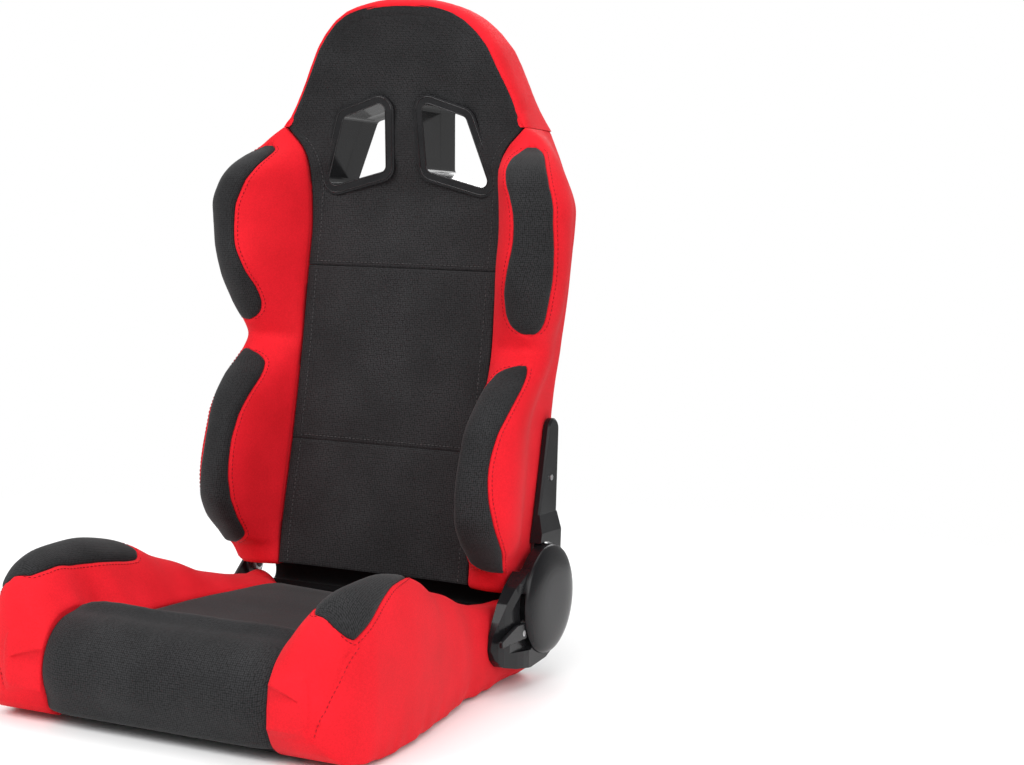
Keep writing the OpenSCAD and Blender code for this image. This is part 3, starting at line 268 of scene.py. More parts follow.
solidLooks = {
    "satinPlastic": {"dark": (0.007, 0.007, 0.008), "light": (0.012, 0.012, 0.013), "metal": 0, "gloss": 0.2,
                     "rough": (0.2, 0.28), "grain": 900, "depth": 0.00006, "slow": 18},
    "bezelPlastic": {"dark": (0.006, 0.006, 0.007), "light": (0.011, 0.011, 0.012), "metal": 0, "gloss": 0.5,
                     "rough": (0.08, 0.16), "grain": 500, "depth": 0.00003, "slow": 25},
    "blackSteel": {"dark": (0.016, 0.016, 0.017), "light": (0.03, 0.03, 0.032), "metal": 0.2, "gloss": 0.5,
                   "rough": (0.34, 0.5), "grain": 600, "depth": 0.00005, "slow": 30},
    "frameSteel": {"dark": (0.02, 0.02, 0.021), "light": (0.04, 0.04, 0.042), "metal": 0.1, "gloss": 0.5,
                   "rough": (0.45, 0.62), "grain": 350, "depth": 0.0001, "slow": 20},
    "brightSteel": {"dark": (0.46, 0.46, 0.47), "light": (0.68, 0.68, 0.69), "metal": 1, "gloss": 0.5,
                    "rough": (0.22, 0.38), "grain": 800, "depth": 0.00004, "slow": 40},
    "redThread": {"dark": (0.24, 0.002, 0.006), "light": (0.40, 0.004, 0.012), "metal": 0, "gloss": 0.2,
                  "rough": (0.5, 0.65), "grain": 1500, "depth": 0.0001, "slow": 90},
    "blackThread": {"dark": (0.035, 0.035, 0.036), "light": (0.075, 0.075, 0.076), "metal": 0, "gloss": 0.2,
                    "rough": (0.5, 0.65), "grain": 1500, "depth": 0.0001, "slow": 90},
}


def solid(name, look):
    # Moulded, painted, plated or twisted: a slow change of colour and gloss, and a fine grain
    material, tree, place = newMaterial(name)
    slow, grain = noise(tree, place, look["slow"], 4), noise(tree, place, look["grain"], 2)
    bump = addNode(tree, "Bump", {"Height": grain, "Strength": 0.5, "Distance": look["depth"]})
    setInputs(tree, tree.nodes["Principled BSDF"], {
        "Base Color": ramp(tree, slow, [(0.35, look["dark"]), (0.68, look["light"])]),
        "Roughness": spread(tree, slow, *look["rough"]), "Metallic": look["metal"],
        "Specular IOR Level": look["gloss"], "Normal": bump.outputs[0]})
    return material


finishes = {name: knit(name, look) for name, look in knitLooks.items()}
finishes.update({name: solid(name, look) for name, look in solidLooks.items()})
print("materials made", len(finishes))


# Meshes
def finishPiece(piece, look, body, stands=()):
    piece.data.materials.clear()
    piece.data.materials.append(finishes[look])
    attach(piece, body)
    if stands:
        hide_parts(*stands)
    return piece


def addPiece(name, points, faces):
    # A smooth-shaded piece from points in millimetres
    mesh = bpy.data.meshes.new(name)
    mesh.from_pydata((np.asarray(points, float) * 0.001).tolist(), [], faces)
    mesh.shade_smooth()
    piece = bpy.data.objects.new(name, mesh)
    scene.collection.objects.link(piece)
    return piece


def loft(name, rings, sharp=48):
    # Closed skin over rings of points, with a fan at both ends; edges over the sharp angle stay hard
    rings = np.asarray(rings, float)
    rows, count = rings.shape[:2]
    ids = np.arange(rows * count).reshape(rows, count)
    after = np.roll(ids, -1, axis=1)
    quads = np.stack([ids[:-1], after[:-1], after[1:], ids[1:]], -1).reshape(-1, 4)
    points = np.concatenate([rings.reshape(-1, 3), [rings[0].mean(0), rings[-1].mean(0)]])
    fans = np.concatenate([np.stack([after[0], ids[0], np.full(count, rows * count)], -1),
                           np.stack([ids[-1], after[-1], np.full(count, rows * count + 1)], -1)])
    a, b, c = points[np.concatenate([quads[:, :3], quads[:, [0, 2, 3]], fans])].transpose(1, 0, 2)
    insideOut = np.einsum("ij,ij->i", a, np.cross(b, c)).sum() < 0
    across = runAcross(np.concatenate([rings, rings[:, :1]], 1))
    along = np.concatenate([[0], np.cumsum(np.linalg.norm(np.diff(rings, axis=0), axis=2).mean(1))])
    flat = np.stack([across, np.repeat(along[:, None], count + 1, 1)], -1)
    quadUv = np.stack([flat[:-1, :-1], flat[:-1, 1:], flat[1:, 1:], flat[1:, :-1]], 2).reshape(-1, 4, 2)
    fanUv = points[fans] @ [[1, 0], [0.5, -0.5], [0, 1]]
    if insideOut:
        quads, fans, quadUv, fanUv = quads[:, ::-1], fans[:, ::-1], quadUv[:, ::-1], fanUv[:, ::-1]
    piece = addPiece(name, points, quads.tolist() + fans.tolist())
    layer = piece.data.uv_layers.new(name="cloth")
    layer.data.foreach_set("uv", np.concatenate([quadUv.ravel(), fanUv.ravel()]) * 0.001)
    piece.data.set_sharp_from_angle(angle=math.radians(sharp))
    return piece


def tubeFaces(start, rings, sides, closed=False):
    # Quads round a tube of rings of points, counted from start
    faces = []
    for i in range(rings if closed else rings - 1):
        here, there = start + i * sides, start + (i + 1) % rings * sides
        for k in range(sides):
            after = (k + 1) % sides
            faces.append((here + k, here + after, there + after, there + k))
    return faces


forward, upward = (0, -1, 0), (0, 0, 1)


def normalsOf(grid, probe, way):
    # Unit normals of a grid of points, turned so that the one at probe looks along way
    n = np.cross(np.gradient(grid, axis=0), np.gradient(grid, axis=1))
    n = n / np.maximum(np.linalg.norm(n, axis=2, keepdims=True), 1e-9)
    return n if n[probe] @ way > 0 else -n


def mirrored(points, side):
    return np.asarray(points, float) * [side, 1, 1]


stitchRuns = {}
stitchLook = {"length": 3.6, "pitch": 6.0, "radius": 0.6, "proud": 0.3, "flatness": 0.8, "beside": 5.5,
              "shape": [(-0.5, 0.45), (-0.32, 1), (0.32, 1), (0.5, 0.45)]}


def stitchAlong(run, path, normals):
    # Notes down a row of stitches; path lies on the surface, with its outward normals
    stitchRuns.setdefault(run, []).append(np.concatenate([path, normals], 1))


def stitchBeside(run, skin, normal, along, columns, places, span):
    # Rows of stitches just outside both edges of an insert
    rows = np.where((places > span[0] + 1) & (places < span[1] - 1))[0]
    for column, sign in zip(columns, (-1, 1)):
        at = along[rows, column] + sign * stitchLook["beside"]
        stitchAlong(run, *(pointsAcross(grid[rows], along[rows], at) for grid in (skin, normal)))


def sewStitches(run, look, body):
    thread = stitchLook
    points, faces = [], []
    for row in stitchRuns[run]:
        both = resample(row, thread["pitch"] / 2)
        for k in range(1, len(both) - 1, 2):
            here, out = both[k, :3], both[k, 3:]
            out = out / np.linalg.norm(out)
            way = both[k + 1, :3] - both[k - 1, :3]
            way = way / max(np.linalg.norm(way), 1e-6)
            across = np.cross(way, out)
            start = len(points)
            for place, share in thread["shape"]:
                r = thread["radius"] * share
                for turn in np.radians([0, 90, 180, 270]):
                    up = r * thread["flatness"] * math.sin(turn) + thread["proud"] * share
                    points.append(here + way * thread["length"] * place
                                  + across * r * math.cos(turn) + out * up)
            faces += tubeFaces(start, 4, 4)
            faces.append((start + 3, start + 2, start + 1, start))
            faces.append((start + 12, start + 13, start + 14, start + 15))
    finishPiece(addPiece(run, points, faces), look, body)


# Backrest profile, as depth (y) and half width (x) against height
backProfile = {
    "seamY": smooth([
        [110, 191], [180, 200], [298, 222], [430, 243], [550, 257], [608, 264], [645, 262], [695, 253],
        [740, 251], [782, 251], [821, 246], [863, 240], [895, 231], [913, 224]]),
    "seamX": smooth([[110, 150.3], [680, 150.3], [700, 154], [717, 163], [731, 176], [742, 187]]),
    "rearY": smooth([
        [112, 276], [340, 309], [550, 336], [640, 346], [790, 350], [840, 342], [885, 327], [913, 308]]),
    "rearHalf": smooth([
        [60, 192], [100, 201], [134, 208], [248, 214], [342, 214], [444, 210], [574, 204], [650, 195],
        [703, 181], [752, 165], [771, 158], [848, 126], [880, 98], [897, 66], [906, 36], [911, 0]]),
    "sideX": smooth([
        [110, 210], [140, 215], [156, 219], [172, 223], [185, 231], [205, 239], [260, 243], [335, 241],
        [445, 238], [499, 256], [540, 266], [580, 272], [629, 274], [668, 262], [697, 244], [715, 228],
        [729, 213], [742, 194]]),
    "sideY": smooth([
        [110, 210], [135, 185], [154, 168], [200, 157], [250, 150], [335, 165], [390, 200], [445, 245],
        [499, 235], [540, 228], [629, 215], [668, 228], [697, 240], [742, 262]]),
    "crestX": smooth([
        [110, 194], [163, 192], [200, 190], [282, 188], [336, 190], [370, 196], [410, 205], [445, 212],
        [540, 215], [629, 224], [660, 218], [697, 205], [713, 201], [729, 196], [742, 190]]),
    "crestOut": smooth([
        [110, 2.5], [150, 25], [163, 48], [183, 72], [200, 92], [232, 115], [282, 124], [336, 118],
        [360, 108], [390, 84], [410, 58], [430, 36], [445, 25], [466, 38], [499, 60], [540, 86], [580, 97],
        [629, 100], [660, 96], [680, 80], [697, 52], [713, 18], [742, 2]]),
    "pinchX": smooth([
        [110, 211], [140, 216], [160, 220], [180, 221.5], [350, 221.5], [445, 229], [540, 236], [629, 238],
        [697, 212], [742, 191]]),
    "pinchIn": smooth([[110, 50], [160, 72], [350, 72], [445, 30], [742, 30]]),
    "low": 124.3, "neck": 741.7,
}
insertEdges = {
    "lower": {
        "lo": smooth([
            [152, 1.5], [155, 1.2], [161, 0.9], [172, 0.7], [186, 0.69], [205, 0.69], [230, 0.71],
            [260, 0.75], [300, 0.76], [340, 0.71], [370, 0.62], [395, 0.55], [410, 0.6], [420, 0.76],
            [426, 1.0], [429, 1.2]]),
        "hi": smooth([
            [152, 1.6], [155, 1.78], [161, 1.9], [170, 1.86], [180, 1.74], [200, 1.6], [230, 1.52],
            [260, 1.44], [300, 1.4], [340, 1.45], [370, 1.52], [395, 1.55], [410, 1.5], [420, 1.42],
            [426, 1.33], [429, 1.25]]),
        "span": (153.0, 428.0)},
    "upper": {
        "lo": smooth([
            [466, 1.2], [469, 0.98], [474, 0.85], [482, 0.75], [495, 0.7], [512, 0.72], [540, 0.84],
            [580, 0.94], [620, 0.89], [650, 0.82], [680, 0.77], [698, 0.78], [708, 0.84], [713, 0.93],
            [717, 1.1]]),
        "hi": smooth([
            [466, 1.25], [469, 1.42], [474, 1.54], [482, 1.6], [495, 1.63], [512, 1.66], [540, 1.7],
            [580, 1.67], [620, 1.62], [650, 1.62], [680, 1.62], [698, 1.6], [708, 1.52], [713, 1.4],
            [717, 1.24]]),
        "span": (467.0, 716.0)},
}
seamLook = {"insertDip": 2.6, "insertRoll": 7, "floor": 6.0, "longDip": 3.2, "longRoll": 9, "calmReach": 30,
            "pucker": 0.35, "puckerWidth": 17, "puckerSeed": 9, "puckerReach": 9}


def onSection(parts, s):
    # A point of a chain of Bezier parts; s counts parts
    k = np.clip(np.floor(s), 0, len(parts) - 1)
    x = y = 0
    for i, part in enumerate(parts):
        t = np.clip(s - i, 0, 1)
        inside = k == i
        x = np.where(inside, bez(*[p[0] for p in part], t), x)
        y = np.where(inside, bez(*[p[1] for p in part], t), y)
    return x, y


def bolsterAt(z, s):
    # Section of a back bolster: 0 seam, 1 crest, 2 side, 3 drawn in for the hinge arm, 4 rear edge
    f = backProfile
    ax, ay = f["seamX"](z), f["seamY"](z)
    kx, ky = f["crestX"](z), ay - f["crestOut"](z)
    dx, dy = f["sideX"](z), np.maximum(f["sideY"](z), ky + 8)
    ex = f["pinchX"](z)
    fx, fy = f["rearHalf"](z), f["rearY"](z)
    ey = np.maximum(fy - f["pinchIn"](z), f["sideY"](z) + 10)
    rise, wide = ay - ky, np.clip((kx - ax) / 46, 0.05, 1)
    parts = [
        [(ax, ay), (ax + 14 * wide, ay - rise * 0.42), (kx - 24 * wide, ky + rise * 0.02), (kx, ky)],
        [(kx, ky), (mix(kx, dx, 0.55), ky), (dx, mix(dy, ky, 0.5)), (dx, dy)],
        [(dx, dy), (dx, mix(dy, ey, 0.45)), (ex, mix(dy, ey, 0.6)), (ex, ey)],
        [(ex, ey), (ex, mix(ey, fy, 0.8)), (mix(fx, ex, 0.5), fy), (fx, fy)],
    ]
    return onSection(parts, s)


def padBack(z):
    # Depth of the pads' hidden rear, just in front of the frame
    frameY = 254 + (z - 112) * math.tan(math.radians(5.9))
    return np.minimum(frameY - 14.6, backProfile["rearY"](z) - 8) - 0.3


def backSection(z, s):
    x, y = bolsterAt(z, s)
    return np.stack([x, y, z + 0 * x], -1)


# Base section, as height (z) and half width (x) against depth
baseProfile = {
    "crestZ": smooth([
        [-299, 112], [-292, 146], [-278, 172], [-255, 190], [-220, 199], [-170, 202], [-110, 194],
        [-70, 184], [-30, 165], [20, 149], [70, 130], [120, 118], [155, 112], [175, 109], [190, 107],
        [205, 109], [216, 110], [222, 99], [232, 86], [250, 77], [276, 82]]),
    "crestX": smooth([[-299, 204], [-278, 212], [-220, 216], [-100, 214], [20, 204], [205, 196]]),
    "half": smooth([
        [-299, 214], [-292, 232], [-278, 248], [-255, 258], [-230, 262], [-150, 260], [-60, 246], [20, 233],
        [90, 221.5], [250, 221.5], [276, 213]]),
    "dipZ": smooth([
        [-299, 96], [-285, 118], [-262, 134], [-235, 138], [-205, 126], [-170, 116], [0, 112], [120, 106],
        [170, 102], [190, 99], [222, 76], [276, 74]]),
    "seamX": smooth([
        [-299, 157.3], [-190, 157.3], [-150, 138.3], [60, 142.3], [205, 148.3], [276, 150.3]]),
    "lowZ": smooth([[-299, 44], [-285, 20], [-262, 8], [-200, 4], [276, 4]]),
    "corner": smooth([[-299, 10], [100, 12], [200, 22], [276, 30]]),
}
tipEdges = {
    "lo": smooth([
        [-278, 1.2], [-275.5, 0.97], [-270, 0.8], [-260, 0.71], [-250, 0.67], [-235, 0.64], [-200, 0.61],
        [-110, 0.61], [-90, 0.63], [-80, 0.67], [-73, 0.74], [-70, 0.8]]),
    "hi": smooth([
        [-278, 1.27], [-275.5, 1.4], [-270, 1.54], [-262, 1.61], [-250, 1.59], [-235, 1.55], [-220, 1.5],
        [-200, 1.42], [-180, 1.35], [-160, 1.28], [-140, 1.22], [-120, 1.15], [-100, 1.06], [-85, 0.96],
        [-75, 0.87], [-70, 0.83]]),
    "span": (-277.5, -70.5),
}


def thighAt(y, s):
    # Section of a base bolster: 0 seam, 1 crest, 2 side, 3 low edge
    f = baseProfile
    ax, az = f["seamX"](y), f["dipZ"](y)
    kx, kz = f["crestX"](y), np.maximum(f["crestZ"](y), az + 2)
    dx, dz = f["half"](y), mix(f["lowZ"](y), kz, 0.5)
    ex, ez = f["half"](y) - f["corner"](y), f["lowZ"](y)
    rise = kz - az
    parts = [
        [(ax, az), (ax + 16, az + rise * 0.25), (kx - 26, kz - rise * 0.05), (kx, kz)],
        [(kx, kz), (mix(kx, dx, 0.6), kz), (dx, mix(dz, kz, 0.6)), (dx, dz)],
        [(dx, dz), (dx, mix(dz, ez, 0.6)), (mix(dx, ex, 0.2), ez), (ex, ez)],
    ]
    return onSection(parts, s)


def baseSection(y, s):
    x, z = thighAt(y, s)
    return np.stack([x, y + 0 * x, z], -1)


def insertPlaces(rows, edges, sLast, columns):
    # Section places of a bolster, lined up with the edges of its insert
    lo, hi = edges["lo"](rows), edges["hi"](rows)
    first, middle, last = columns
    return np.concatenate([gathered(0, 1, first) * lo, lo + (hi - lo) * np.linspace(0.002, 0.998, middle),
                           hi + (sLast - hi) * gathered(0, 1, last)], 1)


def edgeColumns(columns):
    # The columns that lie on both edges of the insert
    return columns[0] - 1, columns[0] + columns[1]


def eased(grid, first, rounds):
    # Rounds off the ridges of a grid beyond its first columns
    grid = grid.copy()
    for _ in range(rounds):
        grid[:, first:-3] = (grid[:, first - 1:-4] + 2 * grid[:, first:-3] + grid[:, first + 1:-2]) / 4
    return grid


def distances(grid, columns, places, span):
    # Distance along each section, and from the insert's outline; negative inside it
    run = runAcross(grid)
    beside = np.maximum(run[:, [columns[0]]] - run, run - run[:, [columns[1]]])
    past = np.maximum(span[0] - places, places - span[1])
    outside = np.hypot(np.maximum(beside, 0), np.maximum(past, 0))
    return run, np.where((beside <= 0) & (past < 0), -1.0, outside)


def clothHeight(grid, run, near, waves):
    # How far a bolster's cloth stands off its section, and the puckers that a seam draws into it
    look = seamLook
    high, wide, seed = waves
    free = np.maximum(near, 0)
    height = np.where(near < 0, -look["floor"], -look["insertDip"] * roll(near, look["insertRoll"]))
    height -= look["longDip"] * roll(run, look["longRoll"])
    height += high * ripple(grid, wide, seed) * np.clip(np.minimum(free, run) / look["calmReach"], 0, 1)
    pucker = look["pucker"] * ripple(grid, look["puckerWidth"], look["puckerSeed"]) * (near > 0)
    return height + pucker * np.exp(-free / look["puckerReach"]), pucker


def innerCorners(corners, rows, axis):
    # The hidden side of a bolster; each corner has two measures, and the rows give the third
    return np.concatenate([np.stack([*pair[:axis], rows, *pair[axis:]], -1) for pair in corners], 1)


lowerSpan, upperSpan = insertEdges["lower"]["span"], insertEdges["upper"]["span"]
backRows = rowPlaces(np.linspace(backProfile["low"], lowerSpan[0], 9), gathered(*lowerSpan, 66),
                     np.linspace(lowerSpan[1], upperSpan[0], 11), gathered(*upperSpan, 62),
                     np.linspace(upperSpan[1], backProfile["neck"], 8))
backLook = {"columns": (20, 7, 64), "split": 447, "rounds": 26, "waves": {1: (0.5, 85, 3), -1: (0.5, 85, 4)},
            "rearDip": 2.5, "rearRoll": 7, "lowDip": 5.0, "lowRoll": 12, "neckDip": 0.6, "neckRoll": 2,
            "seamDip": 1.7, "seamRoll": 5.5, "wall": 166, "wallIn": 12, "rearIn": 9.0}
sideSeam = np.array([[624, 1.45], [620, 1.75], [614, 2.1], [603, 2.5], [588, 3.0], [572, 3.5], [557, 3.98]])


def makeBackBolster(side, name, node):
    look, z = backLook, backRows
    low = z < look["split"]
    edges = edgeColumns(look["columns"])
    s = np.where(low, insertPlaces(z, insertEdges["lower"], 4, look["columns"]),
                 insertPlaces(z, insertEdges["upper"], 4, look["columns"]))
    grid = eased(backSection(z, s), edges[1] + 5, look["rounds"])
    run, nearLower = distances(grid, edges, z, lowerSpan)
    near = np.where(low, nearLower, distances(grid, edges, z, upperSpan)[1])
    normal = normalsOf(grid, (60, 30), forward)
    height, _ = clothHeight(grid, run, near, look["waves"][side])
    height -= look["rearDip"] * roll(run[:, -1:] - run, look["rearRoll"])
    height -= look["lowDip"] * roll(z - backProfile["low"], look["lowRoll"])
    height -= look["neckDip"] * roll(backProfile["neck"] - z, look["neckRoll"])
    height -= look["seamDip"] * roll(toPath(grid, resample(backSection(*sideSeam.T), 2.5)), look["seamRoll"])
    skin = grid + normal * height[..., None]
    skin[[0, -1], :, 2] = z[[0, -1]]  # flat ends
    start, inside = backProfile["seamX"](z), padBack(z)
    back = backProfile["rearY"](z) - look["rearIn"]
    wall = np.minimum(look["wall"], backProfile["rearHalf"](z) - look["wallIn"])
    inner = innerCorners([(skin[:, -1:, 0] - 1.0, back), (wall, back), (np.maximum(wall, start + 4), inside),
                          (start + 1.5, inside - 0.5), (start + 1.0, (inside + skin[:, :1, 1]) / 2)], z, 2)
    piece = loft(name, mirrored(np.concatenate([skin, inner], 1), side))
    finishPiece(piece, "redKnit", "backrest", [node])
    skin, normal = mirrored(skin, side), mirrored(normal, side)
    for span in (lowerSpan, upperSpan):
        stitchBeside("stitches_back_red", skin, normal, run, edges, z[:, 0], span)


insetLook = {"crown": 2.2, "roll": 13, "gap": 0.6, "columns": 24, "thick": 5.2}
insetKinds = {
    "backrest": {"section": backSection, "rows": 70, "way": forward, "slow": (0.35, 60, 12, 20),
                 "fine": (0.3, 15, 6, 8)},
    "base": {"section": baseSection, "rows": 60, "way": upward, "slow": (0.35, 60, 14, 20),
             "fine": (0.3, 15, 7, 8)},
}


def makeInset(side, name, node, body, edges):
    # A black cushion set into the gap that a bolster leaves for it
    look, kind, span = insetLook, insetKinds[body], edges["span"]
    rows = gathered(span[0] + look["gap"], span[1] - look["gap"], kind["rows"])[:, None]
    lo, hi = edges["lo"](rows), edges["hi"](rows)
    grid = kind["section"](rows, lo + (hi - lo) * gathered(0.004, 0.996, look["columns"]))
    run = runAcross(grid)
    toEdge = np.minimum(np.minimum(run, run[:, -1:] - run), np.minimum(rows - span[0], span[1] - rows))
    normal = normalsOf(grid, (kind["rows"] // 2, look["columns"] // 2), kind["way"])
    height = look["crown"] - (seamLook["insertDip"] + look["crown"]) * roll(toEdge, look["roll"])
    skin = grid + normal * (height + unevenness(grid, toEdge, kind))[..., None]
    inner = (grid - normal * look["thick"])[:, ::-1]
    piece = loft(name, mirrored(np.concatenate([skin, inner], 1), side), sharp=60)
    finishPiece(piece, "blackKnit", body, [node])


for side, word in ((1, "right"), (-1, "left")):
    makeBackBolster(side, "back_bolster_cover_" + word, "back_bolster_" + word)
    for which in ("upper", "lower"):
        makeInset(side, which + "_insert_cover_" + word, which + "_insert_" + word, "backrest",
                  insertEdges[which])
print("back bolsters made")

# Harness slots
slotLook = {"corners": [[33, 772], [93, 757], [122, 664], [35, 684]], "middle": (75.0, 719.0), "round": 9.0,
            "clear": 3.2}


def slotOutline(grow, count=10):
    # Rounded outline of a harness slot, grown outward
    radius, points = slotLook["round"] + grow, []
    toMiddle = np.array(slotLook["middle"]) - slotLook["corners"]
    toMiddle /= np.linalg.norm(toMiddle, axis=1, keepdims=True)
    centres = slotLook["corners"] + toMiddle * slotLook["round"]
    for i, c in enumerate(centres):
        before, after = centres[i - 1], centres[(i + 1) % 4]
        a0 = math.atan2(*(c - before)[::-1]) + math.pi / 2
        a1 = math.atan2(*(after - c)[::-1]) + math.pi / 2
        while a1 > a0:
            a1 -= 2 * math.pi
        for a in np.linspace(a0, a1, count):
            points.append(c + radius * np.array([math.cos(a), math.sin(a)]))
    return np.array(points)


def cutSlots(piece, y0, y1):
    # Cuts both slots through a piece, between two depths
    cutters = []
    for side in (1, -1):
        outline = slotOutline(slotLook["clear"])
        cutters.append(loft("cutter", [[(side * x, y, z) for x, z in outline] for y in (y0, y1)]))
        step = piece.modifiers.new("cut", "BOOLEAN")
        step.operation, step.solver, step.object = "DIFFERENCE", "EXACT", cutters[-1]
    graph = bpy.context.evaluated_depsgraph_get()
    mesh = bpy.data.meshes.new_from_object(piece.evaluated_get(graph))
    piece.modifiers.clear()
    piece.data = mesh
    for cutter in cutters:
        bpy.data.objects.remove(cutter)
    return piece


# Centre and head pads
neckX, neckZ = 187, 742  # where the side bolsters end and the head border begins
padLook = {"dish": smooth([[124, 6], [450, 5], [550, 3], [608, 8], [669, 20], [720, 15], [768, 10],
                           [840, 5], [906, 2]]),
           "low": 127.0, "lumbarZ": 302.0, "midZ": 548.0, "bendZ": 880, "top": 906, "crown": 3.0, "reach": 60,
           "seamDip": 1.7, "seamRoll": 5, "edgeDip": 3.0, "edgeRoll": 10, "stitchIn": 14, "stitchDip": 0.9,
           "stitchWidth": 1.3, "seamStitch": 5.5, "slotDip": 3.0, "slotGrow": 9, "slotReach": 11,
           "slow": (0.45, 95, 21, 25), "fine": (0.22, 19, 22)}
headEdge = resample([[187, 742], [176, 762], [166, 782], [156, 802], [146, 821], [139, 836], [132, 850],
                     [118, 868], [101, 884], [82, 895], [66, 900], [52, 903], [36, 905], [20, 906],
                     [0, 906.4]], 1.0)
for _ in range(14):
    headEdge[1:-1] = (headEdge[:-2] + headEdge[1:-1] * 2 + headEdge[2:]) / 4


def padHalf(z):
    # Half width of the pads, which follow the bolsters up to the neck and then the head's edge
    above = np.interp(z, headEdge[:, 1], headEdge[:, 0])
    return np.where(z < neckZ, backProfile["seamX"](z) - 0.6, above - 0.3)


def padSkin(z, u, zLow, zHigh):
    # The sewn front of a pad, and how far each of its points is from the side edge
    look, half = padLook, padHalf(z)
    x = half * u
    level = z + 0 * x
    y = backProfile["seamY"](z) + look["dish"](z) * (1 - np.abs(x / np.maximum(half, 40)) ** 6)
    toSide = half - np.abs(x)
    if zHigh == look["top"]:  # true distance to the curved head edge
        edge = np.concatenate([headEdge, headEdge[::-1] * [-1, 1]])[::4]
        toTop = toPath(np.stack([x, level], -1), edge)
        toSide = np.where(level > neckZ - 7, np.minimum(toTop, toSide), toSide)
        toSeam = level - zLow
        toSlot = toPath(np.stack([np.abs(x), level], -1), slotOutline(look["slotGrow"]))
        y = y + look["slotDip"] * np.exp(-(toSlot / look["slotReach"]) ** 2)
    else:
        toSeam = np.abs(level[..., None] - [zLow, zHigh, look["lumbarZ"]]).min(-1)
    fullness = np.clip(toSeam / look["reach"], 0, 1) ** 0.5 * np.clip(toSide / look["reach"], 0, 1) ** 0.6
    y = y - look["crown"] * fullness
    y = y + look["seamDip"] * roll(toSeam, look["seamRoll"])
    y = y + look["edgeDip"] * roll(toSide, look["edgeRoll"])
    y = y + look["stitchDip"] * np.exp(-((toSide - look["stitchIn"]) / look["stitchWidth"]) ** 2)
    grid = np.stack([x, y, level], -1)
    (high, wide, slowSeed, calmReach), (deep, narrow, fineSeed) = look["slow"], look["fine"]
    nearSeam = np.exp(-toSeam / 10) + np.exp(-np.abs(toSide - look["stitchIn"]) / 7)
    y = y + high * ripple(grid, wide, slowSeed) * np.clip(toSide / calmReach, 0, 1)
    y = y + deep * ripple(grid, narrow, fineSeed) * nearSeam
    return np.stack([x, y, level], -1), toSide


def makePad(name, rows, zLow, zHigh, seam):
    z = rows[:, None]
    skin, toSide = padSkin(z, acrossPlaces(0.22, 16, 43)[None], zLow, zHigh)
    backU = np.linspace(1, -1, 9)[None]
    back = np.stack([padHalf(z) * backU, padBack(z) - 1.5 * backU ** 2, z + 0 * backU], -1)
    piece = loft(name, np.concatenate([skin, back], 1))
    normal = normalsOf(skin, (len(rows) // 2, 20), forward)
    keep = (toSide.max(1) >= 40) & (rows > zLow + 2) & (rows < min(zHigh - 2, neckZ - 7))
    for sign in (-1, 1):
        at = sign * (padHalf(rows[keep]) - padLook["stitchIn"])
        beside = (pointsAcross(grid[keep], skin[keep, :, 0], at) for grid in (skin, normal))
        stitchAlong("stitches_back_black", *beside)
    r = np.argmin(np.abs(rows - seam - padLook["seamStitch"]))
    keep = toSide[r] > 16
    stitchAlong("stitches_back_black", skin[r][keep], normal[r][keep])
    return piece


def seamRows(a, b, seams, step):
    # Heights from a to b, closer together at the seams
    beside = [-6, -4.5, -3.2, -2, -1.2, -0.5, 0, 0.5, 1.2, 2, 3.2, 4.5, 6]
    rows = np.concatenate([np.arange(a, b, step), [b]] + [np.add(s, beside) for s in seams])
    return np.unique(np.round(rows[(rows >= a) & (rows <= b)], 2))


lowZ, lumbarZ, midZ, bendZ, topZ = (padLook[k] for k in ("low", "lumbarZ", "midZ", "bendZ", "top"))
centreRows = seamRows(lowZ + 1, midZ - 0.3, [lumbarZ, midZ, lowZ + 1], 7)
centrePad = makePad("centre_pad_cover", centreRows, lowZ, midZ, lumbarZ)
finishPiece(centrePad, "blackKnit", "backrest", ["centre_pad"])

headRows = np.concatenate([seamRows(midZ + 0.3, bendZ, [midZ], 6.5)[:-1],
                           bendZ + (topZ - bendZ) * np.sin(np.linspace(0, math.pi / 2, 20))])
headPad = cutSlots(makePad("head_pad_cover", headRows, midZ, topZ, midZ), 150, 420)
finishPiece(headPad, "blackKnit", "backrest", ["head_pad"])
print("centre and head pads made")

lipLook = {"radius": 0.85, "inner": 1.0, "outer": 10.2, "step": 3.5, "proud": 0.1, "sides": 8,
           "startDepth": 240}


def makeLips(side, word):
    # Rounded lips along both edges of a slot's front ring, laid on its face
    look = lipLook
    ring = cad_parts["slot_bezel_front_" + word]
    corners = [ring.matrix_world @ v.co for v in ring.data.vertices]
    face = BVHTree.FromPolygons(corners, [tuple(f.vertices) for f in ring.data.polygons])
    points, faces = [], []
    for grow in (look["inner"], look["outer"]):
        outline = slotOutline(grow, 16)
        line = resample(np.concatenate([outline, outline[:1]]), look["step"])[:-1]
        way = np.roll(line, -1, 0) - np.roll(line, 1, 0)
        way /= np.linalg.norm(way, axis=1, keepdims=True)
        faces += tubeFaces(len(points), len(line), look["sides"], closed=True)
        depth = look["startDepth"]
        for (x, z), (wx, wz) in zip(line, way):
            hit = face.ray_cast(Vector((side * x / 1000, -1, z / 1000)), Vector((0, 1, 0)))[0]
            depth = hit.y * 1000 if hit else depth
            for a in np.linspace(0, 2 * math.pi, look["sides"], endpoint=False):
                across, up = look["radius"] * math.cos(a), look["radius"] * math.sin(a)
                points.append((side * (x - wz * across), depth - look["proud"] - up, z + wx * across))
    piece = addPiece("slot_lip_" + word, points, [f[::side] for f in faces])
    finishPiece(piece, "bezelPlastic", "backrest")


for side, word in ((1, "right"), (-1, "left")):
    makeLips(side, word)
print("slot lips made")

